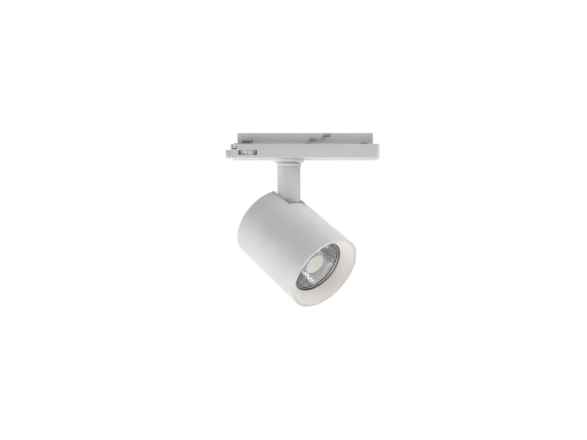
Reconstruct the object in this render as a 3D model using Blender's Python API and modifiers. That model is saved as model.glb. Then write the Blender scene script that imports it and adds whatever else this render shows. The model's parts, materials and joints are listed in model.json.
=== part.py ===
"""Track spotlight: a three-circuit track adapter with its driver, a swivel stem and a tilting round head.

The origin is on the pan axis, in the plane of the adapter's shoulders that meets the
track's underside. +X runs along the track, +Y is the far side of it, and +Z points up into it.
"""

from math import asin, atan2, cos, degrees, hypot, pi, radians, sin, sqrt

import bmesh
import bpy
from mathutils import Euler, Matrix, Vector

MM = 0.001
GAP = 0.3 * MM

# Resolution of round pieces
BIG_STEPS = 48
MEDIUM_STEPS = 24
SMALL_STEPS = 16
SCREW_STEPS = 10

# Adapter housing, a tray that hangs under the track
HOUSING_LEFT = -67.2 * MM
HOUSING_RIGHT = 105.2 * MM
HOUSING_HALF_WIDTH = 18.0 * MM
HOUSING_DROP = 16.2 * MM
HOUSING_WALL = 2.0 * MM
HOUSING_FLOOR_TOP = -HOUSING_DROP + HOUSING_WALL
CORNER_RADIUS = 3.5 * MM

# Dial window in the front wall
WINDOW_LEFT = -58.4 * MM
WINDOW_RIGHT = -36.8 * MM
WINDOW_BOTTOM = -12.7 * MM
WINDOW_TOP = -7.2 * MM
DIAL_X = (WINDOW_LEFT + WINDOW_RIGHT) / 2
DIAL_RADIUS = 14.5 * MM
DIAL_Y = -17.8 * MM + DIAL_RADIUS
DIAL_TEETH = 24

# Body of the adapter inside the track
TRACK_BODY_LEFT = -60.0 * MM
TRACK_BODY_RIGHT = 98.0 * MM
TRACK_BODY_HALF_WIDTH = 8.6 * MM
TRACK_BODY_HEIGHT = 13.5 * MM
TRACK_BODY_WALL = 1.5 * MM
LID_BOTTOM = -2.4 * MM
LID_TOP = -0.3 * MM

# Release slider and locking lugs
SLIDER_TRAVEL = 4.0 * MM
SLIDER_HALF_WIDTH = 3.0 * MM
SLIDER_BAR_BOTTOM = 0.2 * MM
SLIDER_BAR_TOP = 2.2 * MM
LUG_BOTTOM = 2.8 * MM
LUG_TOP = 5.0 * MM
LUG_REACH = 13.0 * MM
LUG_SEAT_START = 9.2 * MM
LUG_SEAT_STEP = 0.3 * MM
LUG_LENGTH = 12.0 * MM
FRONT_LUG_X = -48.0 * MM
REAR_LUG_X = -30.0 * MM
CAM_PIN_RADIUS = 1.2 * MM
CAM_PIN_X = 2.0 * MM
CAM_PIN_Y = 1.6 * MM

# Contacts
CONTACT_LENGTH = 8.0 * MM
CONTACT_THICKNESS = 1.0 * MM
CONTACT_REACH = 12.6 * MM
EARTH_REACH = 10.6 * MM
LOW_CONTACT_Z = 5.2 * MM
HIGH_CONTACT_Z = 9.6 * MM
EARTH_CONTACT_Z = 0.7 * MM

# Driver board
BOARD_LEFT = 19.0 * MM
BOARD_RIGHT = 100.0 * MM
BOARD_HALF_WIDTH = 14.5 * MM
BOARD_BOTTOM = -12.6 * MM
BOARD_TOP = -11.2 * MM

# Swivel
PAN_ANGLE = radians(-44.6)
NIPPLE_RADIUS = 5.0 * MM
NIPPLE_BORE = 3.6 * MM
FLANGE_RADIUS = 17.85 * MM
FLANGE_TOP = -HOUSING_DROP - GAP
FLANGE_BOTTOM = -20.1 * MM
COLLAR_TOP = -20.5 * MM
STEM_RADIUS = 13.5 * MM
STEM_BORE = 11.6 * MM
STEM_TOP = -25.7 * MM
STOP_POST_RADIUS = 1.0 * MM
STOP_POST_DISTANCE = 10.2 * MM
FLANGE_SCREW_X = 14.0 * MM

# Tilt hinge, at the stem's lower end
TILT_ANGLE = radians(31.9)
PIVOT_Z = -66.6 * MM
PIVOT_DEPTH = 16.0 * MM
PIVOT_OFFSET = 38.84 * MM
KNUCKLE_RADIUS = 13.7 * MM
FORK_HALF_SLOT = 5.2 * MM
FORK_EYE_RADIUS = 6.2 * MM
TONGUE_HALF_WIDTH = 4.0 * MM
TONGUE_END_RADIUS = 5.5 * MM
TONGUE_DROP = radians(31.3)
TILT_SCREW_RADIUS = 2.5 * MM

# Head, along its own axis from the rear rim
TUBE_RADIUS = 46.0 * MM
TUBE_WALL = 2.0 * MM
TUBE_BORE = TUBE_RADIUS - TUBE_WALL
TUBE_LENGTH = 108.3 * MM
FIT_RADIUS = TUBE_BORE - GAP
SLOT_HALF_WIDTH = 13.8 * MM
SLOT_END = 29.9 * MM
POCKET_HALF_WIDTH = 15.0 * MM
COVER_REAR = 4.0 * MM
COVER_FRONT = 6.0 * MM
COVER_SCREW_Y = 25.9 * MM
FIN_REAR = 10.0 * MM
SINK_REAR = 50.0 * MM
SINK_FRONT = 58.0 * MM
FIN_COUNT = 11
FIN_PITCH = 7.4 * MM
FIN_THICKNESS = 1.8 * MM
POCKET_FLOOR = -5.0 * MM
BRACKET_REAR = 45.7 * MM
BRACKET_FRONT = 49.7 * MM
BRACKET_SCREW_X = -24.0 * MM
BRACKET_SCREW_Y = 9.0 * MM
LEAD_HOLE = (-22.0 * MM, 18.5 * MM)
CHIP_FRONT = 59.8 * MM
EMITTER_RADIUS = 9.5 * MM
HOLDER_FRONT = 64.5 * MM
HOLDER_SCREW_Y = 20.3 * MM
LENS_RADIUS = 12.2 * MM
LENS_FRONT = 90.4 * MM
LENS_RISE = 1.4 * MM
REFLECTOR_REAR = 65.5 * MM
REFLECTOR_FRONT = 90.4 * MM
REFLECTOR_THROAT = 13.2 * MM
REFLECTOR_MOUTH = 30.6 * MM
GLASS_REAR = 91.1 * MM
GLASS_FRONT = 92.1 * MM
GLASS_RADIUS = 33.5 * MM
BAFFLE_THROAT = 33.0 * MM
BAFFLE_REAR = 95.4 * MM
BAFFLE_FRONT = 107.9 * MM

HEAD_ORIGIN = (PIVOT_OFFSET, 0, -PIVOT_DEPTH)

parts = None
tools = None


def clear_scene():
    for item in list(bpy.data.objects):
        bpy.data.objects.remove(item)


def new_collection(name):
    collection = bpy.data.collections.new(name)
    bpy.context.scene.collection.children.link(collection)
    return collection


def material(name, color, roughness, metallic=0.0, alpha=1.0):
    made = bpy.data.materials.new(name)
    made.use_nodes = True
    shader = made.node_tree.nodes["Principled BSDF"]
    shader.inputs["Base Color"].default_value = (*color, 1.0)
    shader.inputs["Roughness"].default_value = roughness
    shader.inputs["Metallic"].default_value = metallic
    shader.inputs["Alpha"].default_value = alpha
    return made


def add_object(name, mesh, finish=None, parent=None, location=(0, 0, 0)):
    """An object with a finish is a part; one without is a cutting or joining tool."""
    item = bpy.data.objects.new(name, mesh)
    item.parent = parent
    item.location = location
    if finish is None:
        tools.objects.link(item)
        item.hide_render = True
        item.display_type = "WIRE"
    else:
        parts.objects.link(item)
        mesh.materials.append(finish)
    return item


def smooth(item, degrees=35):
    item.data.shade_smooth()
    item.data.set_sharp_from_angle(angle=radians(degrees))
    return item


def box_mesh(name, boxes):
    """One mesh holding a cuboid for each (low corner, high corner) pair."""
    bm = bmesh.new()
    for low, high in boxes:
        low, high = Vector(low), Vector(high)
        size = Matrix.Diagonal((*(high - low), 1.0))
        bmesh.ops.create_cube(bm, size=1.0, matrix=Matrix.Translation((low + high) / 2) @ size)
    mesh = bpy.data.meshes.new(name)
    bm.to_mesh(mesh)
    bm.free()
    return mesh


def rod_mesh(name, start, end, radius, steps=SMALL_STEPS):
    """A cylinder from one point to another."""
    start, end = Vector(start), Vector(end)
    along = end - start
    turn = Vector((0, 0, 1)).rotation_difference(along).to_matrix().to_4x4()
    bm = bmesh.new()
    bmesh.ops.create_cone(
        bm,
        cap_ends=True,
        segments=steps,
        radius1=radius,
        radius2=radius,
        depth=along.length,
        matrix=Matrix.Translation((start + end) / 2) @ turn,
    )
    mesh = bpy.data.meshes.new(name)
    bm.to_mesh(mesh)
    bm.free()
    return mesh


def turned_object(name, profile, steps, finish=None, parent=None, location=(0, 0, 0)):
    """Screw a profile of (radius, height) points round Z. It is closed unless its ends lie on the axis."""
    closed = profile[0][0] > 0
    count = len(profile)
    edges = [(i, i + 1) for i in range(count - 1)]
    if closed:
        edges.append((count - 1, 0))
    mesh = bpy.data.meshes.new(name)
    mesh.from_pydata([(r, 0, z) for r, z in profile], edges, [])
    item = add_object(name, mesh, finish, parent, location)
    screw = item.modifiers.new("Turn", "SCREW")
    screw.steps = steps
    screw.render_steps = steps
    screw.use_merge_vertices = True
    screw.merge_threshold = 0.00001
    screw.use_smooth_shade = True
    return item


def plate_mesh(name, outlines, low, high):
    """A flat outline, with any holes as further outlines, between two heights."""
    curve = bpy.data.curves.new(name, "CURVE")
    curve.dimensions = "2D"
    curve.fill_mode = "BOTH"
    curve.extrude = (high - low) / 2
    for outline in outlines:
        spline = curve.splines.new("POLY")
        spline.points.add(len(outline) - 1)
        for point, (x, y) in zip(spline.points, outline):
            point.co = (x, y, 0, 1)
        spline.use_cyclic_u = True
    flat = bpy.data.objects.new(name, curve)
    tools.objects.link(flat)
    evaluated = flat.evaluated_get(bpy.context.evaluated_depsgraph_get())
    mesh = bpy.data.meshes.new_from_object(evaluated)
    bpy.data.objects.remove(flat)
    weld(mesh)
    mesh.transform(Matrix.Translation((0, 0, (low + high) / 2)))
    return mesh


def weld(mesh):
    bm = bmesh.new()
    bm.from_mesh(mesh)
    bmesh.ops.remove_doubles(bm, verts=bm.verts, dist=0.000001)
    bmesh.ops.recalc_face_normals(bm, faces=bm.faces)
    bm.to_mesh(mesh)
    bm.free()


def wire_object(name, points, radius, finish, parent=None, location=(0, 0, 0)):
    """A round wire or cable along the points."""
    curve = bpy.data.curves.new(name, "CURVE")
    curve.dimensions = "3D"
    curve.bevel_depth = radius
    curve.bevel_resolution = 2
    curve.use_fill_caps = True
    spline = curve.splines.new("POLY")
    spline.points.add(len(points) - 1)
    for point, place in zip(spline.points, points):
        point.co = (*place, 1)
    return add_object(name, curve, finish, parent, location)


def circle(radius, steps, x=0.0, y=0.0):
    turns = [2 * pi * i / steps for i in range(steps)]
    return [(x + radius * cos(a), y + radius * sin(a)) for a in turns]


def arc(radius, start, end, steps, x=0.0, y=0.0):
    """Points on an arc between two angles in degrees."""
    turns = [radians(start + (end - start) * i / steps) for i in range(steps + 1)]
    return [(x + radius * cos(a), y + radius * sin(a)) for a in turns]


def boolean(item, tool, operation):
    step = item.modifiers.new(operation.title(), "BOOLEAN")
    step.operation = operation
    step.solver = "EXACT"
    step.use_self = True
    step.object = tool
    return item


def tool_like(item, mesh):
    """A cutting or joining tool in the same frame as an object."""
    return add_object(item.name + "_tool", mesh, None, item.parent, item.location)


def cut(item, mesh):
    return boolean(item, tool_like(item, mesh), "DIFFERENCE")


def fuse(item, mesh):
    return boolean(item, tool_like(item, mesh), "UNION")


def cut_boxes(item, *boxes):
    return cut(item, box_mesh("boxes", boxes))


def cut_rod(item, start, end, radius, steps=SMALL_STEPS):
    return cut(item, rod_mesh("rod", start, end, radius, steps))


def screw_mesh(name, head, tip, head_radius, head_height, shank_radius):
    """A pan-head screw with a slot, from the top of its head to its tip."""
    head, tip = Vector(head), Vector(tip)
    along = tip - head
    length = along.length
    profile = [
        (0, 0),
        (head_radius * 0.8, 0),
        (head_radius, -head_height * 0.35),
        (head_radius, -head_height),
        (shank_radius, -head_height),
        (shank_radius, -length + shank_radius),
        (shank_radius * 0.4, -length),
        (0, -length),
    ]
    helper = turned_object(name, profile, SCREW_STEPS)
    reach = head_radius * 1.2
    cut_boxes(helper, ((-reach, -0.3 * MM, -head_height * 0.5), (reach, 0.3 * MM, MM)))
    evaluated = helper.evaluated_get(bpy.context.evaluated_depsgraph_get())
    mesh = bpy.data.meshes.new_from_object(evaluated)
    bpy.data.objects.remove(helper)
    turn = Vector((0, 0, -1)).rotation_difference(along).to_matrix().to_4x4()
    mesh.transform(Matrix.Translation(head) @ turn)
    return mesh


def add_screw(name, head, tip, head_radius, head_height, shank_radius, parent=None, location=(0, 0, 0)):
    mesh = screw_mesh(name, head, tip, head_radius, head_height, shank_radius)
    return smooth(add_object(name, mesh, STEEL, parent, location))


def rounded_outline(left, right, half_width, left_radius, right_radius, steps=5):
    """A rectangle in X and Y with round corners."""
    outline = arc(right_radius, -90, 0, steps, right - right_radius, -half_width + right_radius)
    outline += arc(right_radius, 0, 90, steps, right - right_radius, half_width - right_radius)
    outline += arc(left_radius, 90, 180, steps, left + left_radius, half_width - left_radius)
    outline += arc(left_radius, 180, 270, steps, left + left_radius, -half_width + left_radius)
    return outline


# ---------------------------------------------------------------- adapter


def adapter_housing():
    outline = rounded_outline(HOUSING_LEFT, HOUSING_RIGHT, HOUSING_HALF_WIDTH, 0.8 * MM, CORNER_RADIUS)
    tray = plate_mesh("adapter_housing", [outline], -HOUSING_DROP, 0)
    item = add_object("adapter_housing", tray, WHITE_PLASTIC)
    inner = rounded_outline(
        HOUSING_LEFT + HOUSING_WALL,
        HOUSING_RIGHT - HOUSING_WALL,
        HOUSING_HALF_WIDTH - HOUSING_WALL,
        0.5 * MM,
        CORNER_RADIUS - HOUSING_WALL,
    )
    cut(item, plate_mesh("hollow", [inner], HOUSING_FLOOR_TOP, 5 * MM))
    cut_boxes(item, *housing_openings())
    cut_rod(item, (0, 0, -20 * MM), (0, 0, -10 * MM), NIPPLE_RADIUS + GAP, MEDIUM_STEPS)
    for x in (-FLANGE_SCREW_X, FLANGE_SCREW_X):
        cut_rod(item, (x, 0, -20 * MM), (x, 0, -10 * MM), 1.1 * MM)
    for mesh in housing_posts():
        fuse(item, mesh)
    return item


def housing_openings():
    """The dial window, the clip notches and the slider's way out."""
    front = -HOUSING_HALF_WIDTH
    window = (
        (WINDOW_LEFT, front - 1 * MM, WINDOW_BOTTOM),
        (WINDOW_RIGHT, front + HOUSING_WALL + 1 * MM, WINDOW_TOP),
    )
    boxes = [window]
    for side in (-1, 1):
        y0, y1 = sorted((side * (HOUSING_HALF_WIDTH + 1 * MM), side * (HOUSING_HALF_WIDTH - 2.5 * MM)))
        boxes.append(((-65.6 * MM, y0, -6.1 * MM), (-60.2 * MM, y1, 1 * MM)))
    end = (HOUSING_LEFT - 1 * MM, HOUSING_LEFT + HOUSING_WALL + 0.5 * MM)
    boxes.append(((end[0], -6.4 * MM, -14.0 * MM), (end[1], 6.4 * MM, -5.6 * MM)))
    boxes.append(((end[0], -3.4 * MM, -6.0 * MM), (end[1], 3.4 * MM, 1 * MM)))
    return boxes


def housing_posts():
    """Posts on the floor: the dial's axle, the pan stop and two board supports."""
    foot = HOUSING_FLOOR_TOP - 0.5 * MM
    posts = [
        ((DIAL_X, DIAL_Y), 2.2 * MM, -6.0 * MM),
        ((-STOP_POST_DISTANCE, 0), STOP_POST_RADIUS, -11.5 * MM),
        ((BOARD_LEFT + 4 * MM, 10 * MM), 2.4 * MM, BOARD_BOTTOM - GAP),
        ((BOARD_RIGHT - 4 * MM, -10 * MM), 2.4 * MM, BOARD_BOTTOM - GAP),
    ]
    return [rod_mesh("post", (x, y, foot), (x, y, top), radius) for (x, y), radius, top in posts]


def track_body():
    lid = (
        (HOUSING_LEFT + 2.4 * MM, -15.6 * MM, LID_BOTTOM),
        (HOUSING_RIGHT - 3.0 * MM, 15.6 * MM, LID_TOP),
    )
    item = add_object("track_body", box_mesh("track_body", [lid]), WHITE_PLASTIC)
    shell = (
        (TRACK_BODY_LEFT, -TRACK_BODY_HALF_WIDTH, LID_BOTTOM + 0.5 * MM),
        (TRACK_BODY_RIGHT, TRACK_BODY_HALF_WIDTH, TRACK_BODY_HEIGHT),
    )
    clips = []
    for side in (-1, 1):
        y0, y1 = sorted((side * 17.8 * MM, side * 15.2 * MM))
        clips.append(((-65.2 * MM, y0, LID_BOTTOM + 0.4 * MM), (-60.6 * MM, y1, LID_TOP - 0.1 * MM)))
        y0, y1 = sorted((side * 17.8 * MM, side * 16.3 * MM))
        clips.append(((-64.9 * MM, y0, -5.0 * MM), (-60.9 * MM, y1, LID_BOTTOM + 1.0 * MM)))
    fuse(item, box_mesh("shell", [shell]))
    fuse(item, box_mesh("clip_arms", clips[0::2]))
    fuse(item, box_mesh("clip_noses", clips[1::2]))
    inner = TRACK_BODY_HALF_WIDTH - TRACK_BODY_WALL
    hollow = (
        (TRACK_BODY_LEFT + TRACK_BODY_WALL, -inner, -5 * MM),
        (TRACK_BODY_RIGHT - TRACK_BODY_WALL, inner, TRACK_BODY_HEIGHT - TRACK_BODY_WALL),
    )
    cut_boxes(item, hollow)
    cut_boxes(item, *track_body_slots())
    return item


def track_body_slots():
    """Openings for the slider, the two lugs and the contacts."""
    slider = (
        (-70 * MM, -3.4 * MM, -5 * MM),
        (TRACK_BODY_LEFT + 3 * MM, 3.4 * MM, SLIDER_BAR_TOP + 0.4 * MM),
    )
    slots = [slider]
    for x, side in ((FRONT_LUG_X, -1), (REAR_LUG_X, 1)):
        slots.append(side_slot(x, LUG_LENGTH, side, LUG_BOTTOM, LUG_TOP))
    for _, x, side, bottom in contact_places():
        slots.append(side_slot(x, CONTACT_LENGTH, side, bottom, bottom + CONTACT_THICKNESS))
    return slots


def side_slot(x, length, side, bottom, top):
    y0, y1 = sorted((side * 6 * MM, side * 10 * MM))
    half = length / 2 + GAP
    return ((x - half, y0, bottom - GAP), (x + half, y1, top + GAP))


def contact_places():
    """Name, place along the track, side and height of each contact."""
    return [
        ("phase_contact_1", 28 * MM, -1, LOW_CONTACT_Z),
        ("phase_contact_2", 44 * MM, -1, HIGH_CONTACT_Z),
        ("phase_contact_3", 28 * MM, 1, LOW_CONTACT_Z),
        ("neutral_contact", 44 * MM, 1, HIGH_CONTACT_Z),
        ("earth_contact_front", 88 * MM, -1, EARTH_CONTACT_Z),
        ("earth_contact_rear", 88 * MM, 1, EARTH_CONTACT_Z),
    ]


def contacts():
    """Sprung copper fingers, each with a foot inside the body."""
    for name, x, side, bottom in contact_places():
        reach = EARTH_REACH if name.startswith("earth") else CONTACT_REACH
        y0, y1 = sorted((side * 4.0 * MM, side * reach))
        half = CONTACT_LENGTH / 2
        finger = ((x - half, y0, bottom), (x + half, y1, bottom + CONTACT_THICKNESS))
        item = add_object(name, box_mesh(name, [finger]), COPPER)
        rounded = item.modifiers.new("Round tip", "BEVEL")
        rounded.width = 0.35 * MM
        rounded.segments = 1
        y0, y1 = sorted((side * 4.0 * MM, side * 5.0 * MM))
        foot = ((x - half + MM, y0, -4.5 * MM), (x + half - MM, y1, bottom + 0.6 * MM))
        fuse(item, box_mesh("foot", [foot]))


def release_slider():
    """The pull tab, its riser and the flat bar with two cam pins."""
    tab = ((-73.7 * MM, -7.0 * MM, -15.0 * MM), (HOUSING_LEFT - GAP, 7.0 * MM, -6.0 * MM))
    item = add_object("release_slider", box_mesh("release_slider", [tab]), WHITE_PLASTIC)
    rounded = item.modifiers.new("Round", "BEVEL")
    rounded.width = 0.6 * MM
    rounded.segments = 2
    half = SLIDER_HALF_WIDTH
    neck = ((-68.5 * MM, -5.8 * MM, -13.6 * MM), (-62.5 * MM, 5.8 * MM, -6.2 * MM))
    riser = ((-64.5 * MM, -half, -8.0 * MM), (-62.5 * MM, half, SLIDER_BAR_TOP))
    bar = ((-63.5 * MM, -half, SLIDER_BAR_BOTTOM), (-24.0 * MM, half, SLIDER_BAR_TOP - 0.01 * MM))
    fuse(item, box_mesh("neck", [neck]))
    fuse(item, box_mesh("riser", [riser]))
    fuse(item, box_mesh("bar", [bar]))
    for x, side in ((FRONT_LUG_X, -1), (REAR_LUG_X, 1)):
        place = Vector((x + CAM_PIN_X, side * CAM_PIN_Y, 0))
        foot = place + Vector((0, 0, SLIDER_BAR_BOTTOM + MM))
        top = place + Vector((0, 0, LUG_TOP + MM))
        fuse(item, rod_mesh("pin", foot, top, CAM_PIN_RADIUS))
    return item


def lock_lug(name, x, side):
    """A steel tongue with a slanted cam slot and a stepped seat. It slides across the track."""
    y0, y1 = sorted((side * LUG_REACH, -side * 1.0 * MM))
    half = LUG_LENGTH / 2
    item = add_object(name, box_mesh(name, [((x - half, y0, LUG_BOTTOM), (x + half, y1, LUG_TOP))]), STEEL)
    rounded = item.modifiers.new("Round", "BEVEL")
    rounded.width = 0.4 * MM
    rounded.segments = 1
    radius = CAM_PIN_RADIUS + GAP
    start = Vector((x + CAM_PIN_X, side * CAM_PIN_Y))
    end = start + Vector((-SLIDER_TRAVEL, side * SLIDER_TRAVEL))
    facing = degrees(atan2(end.y - start.y, end.x - start.x))
    outline = arc(radius, facing - 90, facing + 90, 8, end.x, end.y)
    outline += arc(radius, facing + 90, facing + 270, 8, start.x, start.y)
    cut(item, plate_mesh("cam_slot", [outline], LUG_BOTTOM - MM, LUG_TOP + MM))
    y0, y1 = sorted((side * LUG_SEAT_START, side * (LUG_REACH + MM)))
    half += MM
    cut_boxes(item, ((x - half, y0, LUG_BOTTOM - MM), (x + half, y1, LUG_BOTTOM + LUG_SEAT_STEP)))
    return item


def release_spring():
    """A small coil spring that pulls the slider's bar back in."""
    turns, per_turn, radius = 5, 8, 1.6 * MM
    left, right = -23.5 * MM, -12.0 * MM
    points = []
    for i in range(turns * per_turn + 1):
        angle = 2 * pi * i / per_turn
        share = i / (turns * per_turn)
        points.append((left + (right - left) * share, radius * cos(angle), 4.4 * MM + radius * sin(angle)))
    return wire_object("release_spring", points, 0.25 * MM, STEEL)


def phase_selector_wheel():
    """A ribbed thumb wheel that stands on a post in the housing."""
    outline = []
    for i in range(DIAL_TEETH * 6):
        angle = 2 * pi * i / (DIAL_TEETH * 6)
        outline.append(rib_radius(angle, angle))
    hole = circle(2.2 * MM + GAP, SMALL_STEPS)
    mesh = plate_mesh("phase_selector_wheel", [outline, hole], WINDOW_BOTTOM + GAP, WINDOW_TOP - GAP)
    item = add_object("phase_selector_wheel", mesh, WHITE_PLASTIC, None, (DIAL_X, DIAL_Y, 0))
    return smooth(item)


def rib_radius(angle, turn):
    radius = DIAL_RADIUS - 0.45 * MM * (1 - cos(DIAL_TEETH * angle))
    return (radius * cos(turn), radius * sin(turn))


def selector_wiper():
    """The contact arm on top of the wheel."""
    reach = 9.5 * MM
    outline = arc(4.0 * MM, 40, 320, 10) + arc(1.5 * MM, -90, 90, 5, reach, 0)
    hole = circle(2.2 * MM + GAP, SMALL_STEPS)
    mesh = plate_mesh("selector_wiper", [outline, hole], WINDOW_TOP, WINDOW_TOP + 0.5 * MM)
    return add_object("selector_wiper", mesh, COPPER, None, (DIAL_X, DIAL_Y, 0))


def driver_board():
    outline = rounded_outline(BOARD_LEFT, BOARD_RIGHT, BOARD_HALF_WIDTH, MM, MM, 2)
    holes = [circle(1.2 * MM, 12, x, y) for x, y in board_screw_places()]
    mesh = plate_mesh("driver_board", [outline, *holes], BOARD_BOTTOM, BOARD_TOP)
    return add_object("driver_board", mesh, GREEN_BOARD)


def board_screw_places():
    return [(BOARD_LEFT + 4 * MM, 10 * MM), (BOARD_RIGHT - 4 * MM, -10 * MM)]


def board_screws():
    """Each screw holds the board and ends just above its post."""
    for number, (x, y) in enumerate(board_screw_places(), 1):
        top = BOARD_TOP + 1.5 * MM
        add_screw(f"board_screw_{number}", (x, y, top), (x, y, BOARD_BOTTOM), 2.0 * MM, 1.2 * MM, 0.8 * MM)


def transformer():
    """A wound bobbin between the two halves of a ferrite core."""
    base = BOARD_TOP + GAP
    core = ((60 * MM, -6.6 * MM, base + 1.5 * MM), (80 * MM, 6.6 * MM, base + 15.5 * MM))
    item = add_object("transformer", box_mesh("transformer", [core]), FERRITE)
    rounded = item.modifiers.new("Round", "BEVEL")
    rounded.width = 0.5 * MM
    rounded.segments = 1
    middle = base + 8.5 * MM
    fuse(item, rod_mesh("winding", (64 * MM, 0, middle), (76 * MM, 0, middle), 6.9 * MM, MEDIUM_STEPS))
    fuse(item, box_mesh("pins", [((62 * MM, -6.0 * MM, base), (78 * MM, 6.0 * MM, base + 2 * MM))]))
    return item


def capacitors():
    radius = 4.0 * MM
    y = -9.6 * MM
    z = BOARD_TOP + GAP + radius
    can = rod_mesh("bulk_capacitor", (36 * MM, y, z), (52 * MM, y, z), radius, 24)
    smooth(add_object("bulk_capacitor", can, SLEEVE))
    block = ((34 * MM, 5 * MM, BOARD_TOP + GAP), (50 * MM, 11.5 * MM, -3.4 * MM))
    film = add_object("film_capacitor", box_mesh("film_capacitor", [block]), FILM_YELLOW)
    rounded = film.modifiers.new("Round", "BEVEL")
    rounded.width = 0.6 * MM
    rounded.segments = 2


def output_terminal():
    block = ((BOARD_LEFT + 1 * MM, -8 * MM, BOARD_TOP + GAP), (BOARD_LEFT + 9 * MM, 4 * MM, -5.0 * MM))
    item = add_object("output_terminal", box_mesh("output_terminal", [block]), WHITE_PLASTIC)
    for y in (-5 * MM, 1 * MM):
        cut_rod(item, (BOARD_LEFT - MM, y, -7.6 * MM), (BOARD_LEFT + 5 * MM, y, -7.6 * MM), 1.7 * MM, 12)
    return item


def adapter_cable():
    """The two-core cable from the driver's output to the swivel."""
    y = -5 * MM
    points = [
        (BOARD_LEFT + 4.5 * MM, y, -7.6 * MM),
        (BOARD_LEFT - 3 * MM, y, -7.4 * MM),
        (10 * MM, -4.2 * MM, -6.4 * MM),
        (4 * MM, -2.2 * MM, -5.2 * MM),
        (1.5 * MM, -0.6 * MM, -5.6 * MM),
        (0.4 * MM, 0, -7.2 * MM),
    ]
    return wire_object("adapter_cable", points, 1.3 * MM, GREY_CABLE)


# ---------------------------------------------------------------- swivel


def swivel_flange():
    profile = [
        (FLANGE_RADIUS - 0.5 * MM, FLANGE_TOP),
        (FLANGE_RADIUS, FLANGE_TOP - 0.5 * MM),
        (FLANGE_RADIUS, FLANGE_BOTTOM + 0.7 * MM),
        (FLANGE_RADIUS - 0.7 * MM, FLANGE_BOTTOM),
        (NIPPLE_RADIUS + GAP, FLANGE_BOTTOM),
        (NIPPLE_RADIUS + GAP, FLANGE_TOP),
    ]
    item = turned_object("swivel_flange", profile, BIG_STEPS, WHITE_METAL)
    for x in (-FLANGE_SCREW_X, FLANGE_SCREW_X):
        cut_rod(item, (x, 0, FLANGE_TOP - 3.0 * MM), (x, 0, FLANGE_TOP + MM), 1.1 * MM)
    return item


def flange_screws():
    head = HOUSING_FLOOR_TOP + 1.8 * MM
    for number, x in enumerate((-FLANGE_SCREW_X, FLANGE_SCREW_X), 1):
        tip = FLANGE_TOP - 2.6 * MM
        add_screw(f"flange_screw_{number}", (x, 0, head), (x, 0, tip), 2.0 * MM, 1.4 * MM, 0.8 * MM)


def swivel_collar(pan):
    profile = [
        (12.6 * MM, COLLAR_TOP),
        (12.6 * MM, COLLAR_TOP - 0.9 * MM),
        (13.9 * MM, -21.7 * MM),
        (14.3 * MM, -22.5 * MM),
        (14.3 * MM, -23.4 * MM),
        (13.9 * MM, -24.6 * MM),
        (STEM_RADIUS, -25.4 * MM),
        (STEM_BORE - GAP, -25.4 * MM),
        (STEM_BORE - GAP, -31.0 * MM),
        (NIPPLE_RADIUS + GAP, -31.0 * MM),
        (NIPPLE_RADIUS + GAP, COLLAR_TOP),
    ]
    return turned_object("swivel_collar", profile, BIG_STEPS, WHITE_METAL, pan)


def swivel_nipple(pan):
    """A hollow threaded tube that carries the stem and lets the cable through."""
    profile = [
        (NIPPLE_RADIUS, -8.2 * MM),
        (NIPPLE_RADIUS, -31.3 * MM),
        (7.5 * MM, -31.3 * MM),
        (7.5 * MM, -33.3 * MM),
        (NIPPLE_BORE, -33.3 * MM),
        (NIPPLE_BORE, -8.2 * MM),
    ]
    return turned_object("swivel_nipple", profile, MEDIUM_STEPS, STEEL, pan)


def swivel_nut(pan):
    outline = circle(8.2 * MM, 6)
    hole = circle(NIPPLE_RADIUS + GAP, MEDIUM_STEPS)
    mesh = plate_mesh("swivel_nut", [outline, hole], -12.2 * MM, -8.6 * MM)
    return add_object("swivel_nut", mesh, STEEL, pan)


def stop_washer(pan):
    """A disc keyed to the nipple, whose tab meets the pan stop's post."""
    tab = 11.2 * MM
    half = radians(8)
    stop = -PAN_ANGLE
    outline = []
    for i in range(36):
        angle = 2 * pi * i / 36 + stop
        near = abs(2 * pi * i / 36) < half or abs(2 * pi * i / 36 - 2 * pi) < half
        radius = tab if near else 8.4 * MM
        outline.append((radius * cos(angle), radius * sin(angle)))
    hole = circle(NIPPLE_RADIUS + GAP, MEDIUM_STEPS)
    mesh = plate_mesh("stop_washer", [outline, hole], -13.9 * MM, -13.2 * MM)
    return add_object("stop_washer", mesh, STEEL, pan)


def wave_washer(pan):
    hole = circle(NIPPLE_RADIUS + GAP, MEDIUM_STEPS)
    mesh = plate_mesh("wave_washer", [circle(7.8 * MM, MEDIUM_STEPS), hole], -12.9 * MM, -12.5 * MM)
    return add_object("wave_washer", mesh, STEEL, pan)


def stem_tube(pan):
    """A cast tube whose lower end is a fork, round about the tilt pin."""
    mesh = rod_mesh("stem_tube", (0, 0, PIVOT_Z - 15 * MM), (0, 0, STEM_TOP), STEM_RADIUS, BIG_STEPS)
    item = smooth(add_object("stem_tube", mesh, WHITE_METAL, pan))
    boolean(item, tool_like(item, knuckle_mesh()), "INTERSECT")
    cut_rod(item, (0, 0, -52 * MM), (0, 0, STEM_TOP + MM), STEM_BORE, MEDIUM_STEPS)
    cut_rod(item, (0, 0, PIVOT_Z), (0, 0, -51 * MM), 4.4 * MM, SMALL_STEPS)
    cut(item, fork_slot_mesh())
    wide = 20 * MM
    cut_rod(item, (0, -wide, PIVOT_Z), (0, wide, PIVOT_Z), TILT_SCREW_RADIUS + GAP, SMALL_STEPS)
    for side in (-1, 1):
        cut_rod(item, (0, side * 9.0 * MM, PIVOT_Z), (0, side * wide, PIVOT_Z), 4.8 * MM, 24)
    return item


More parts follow.
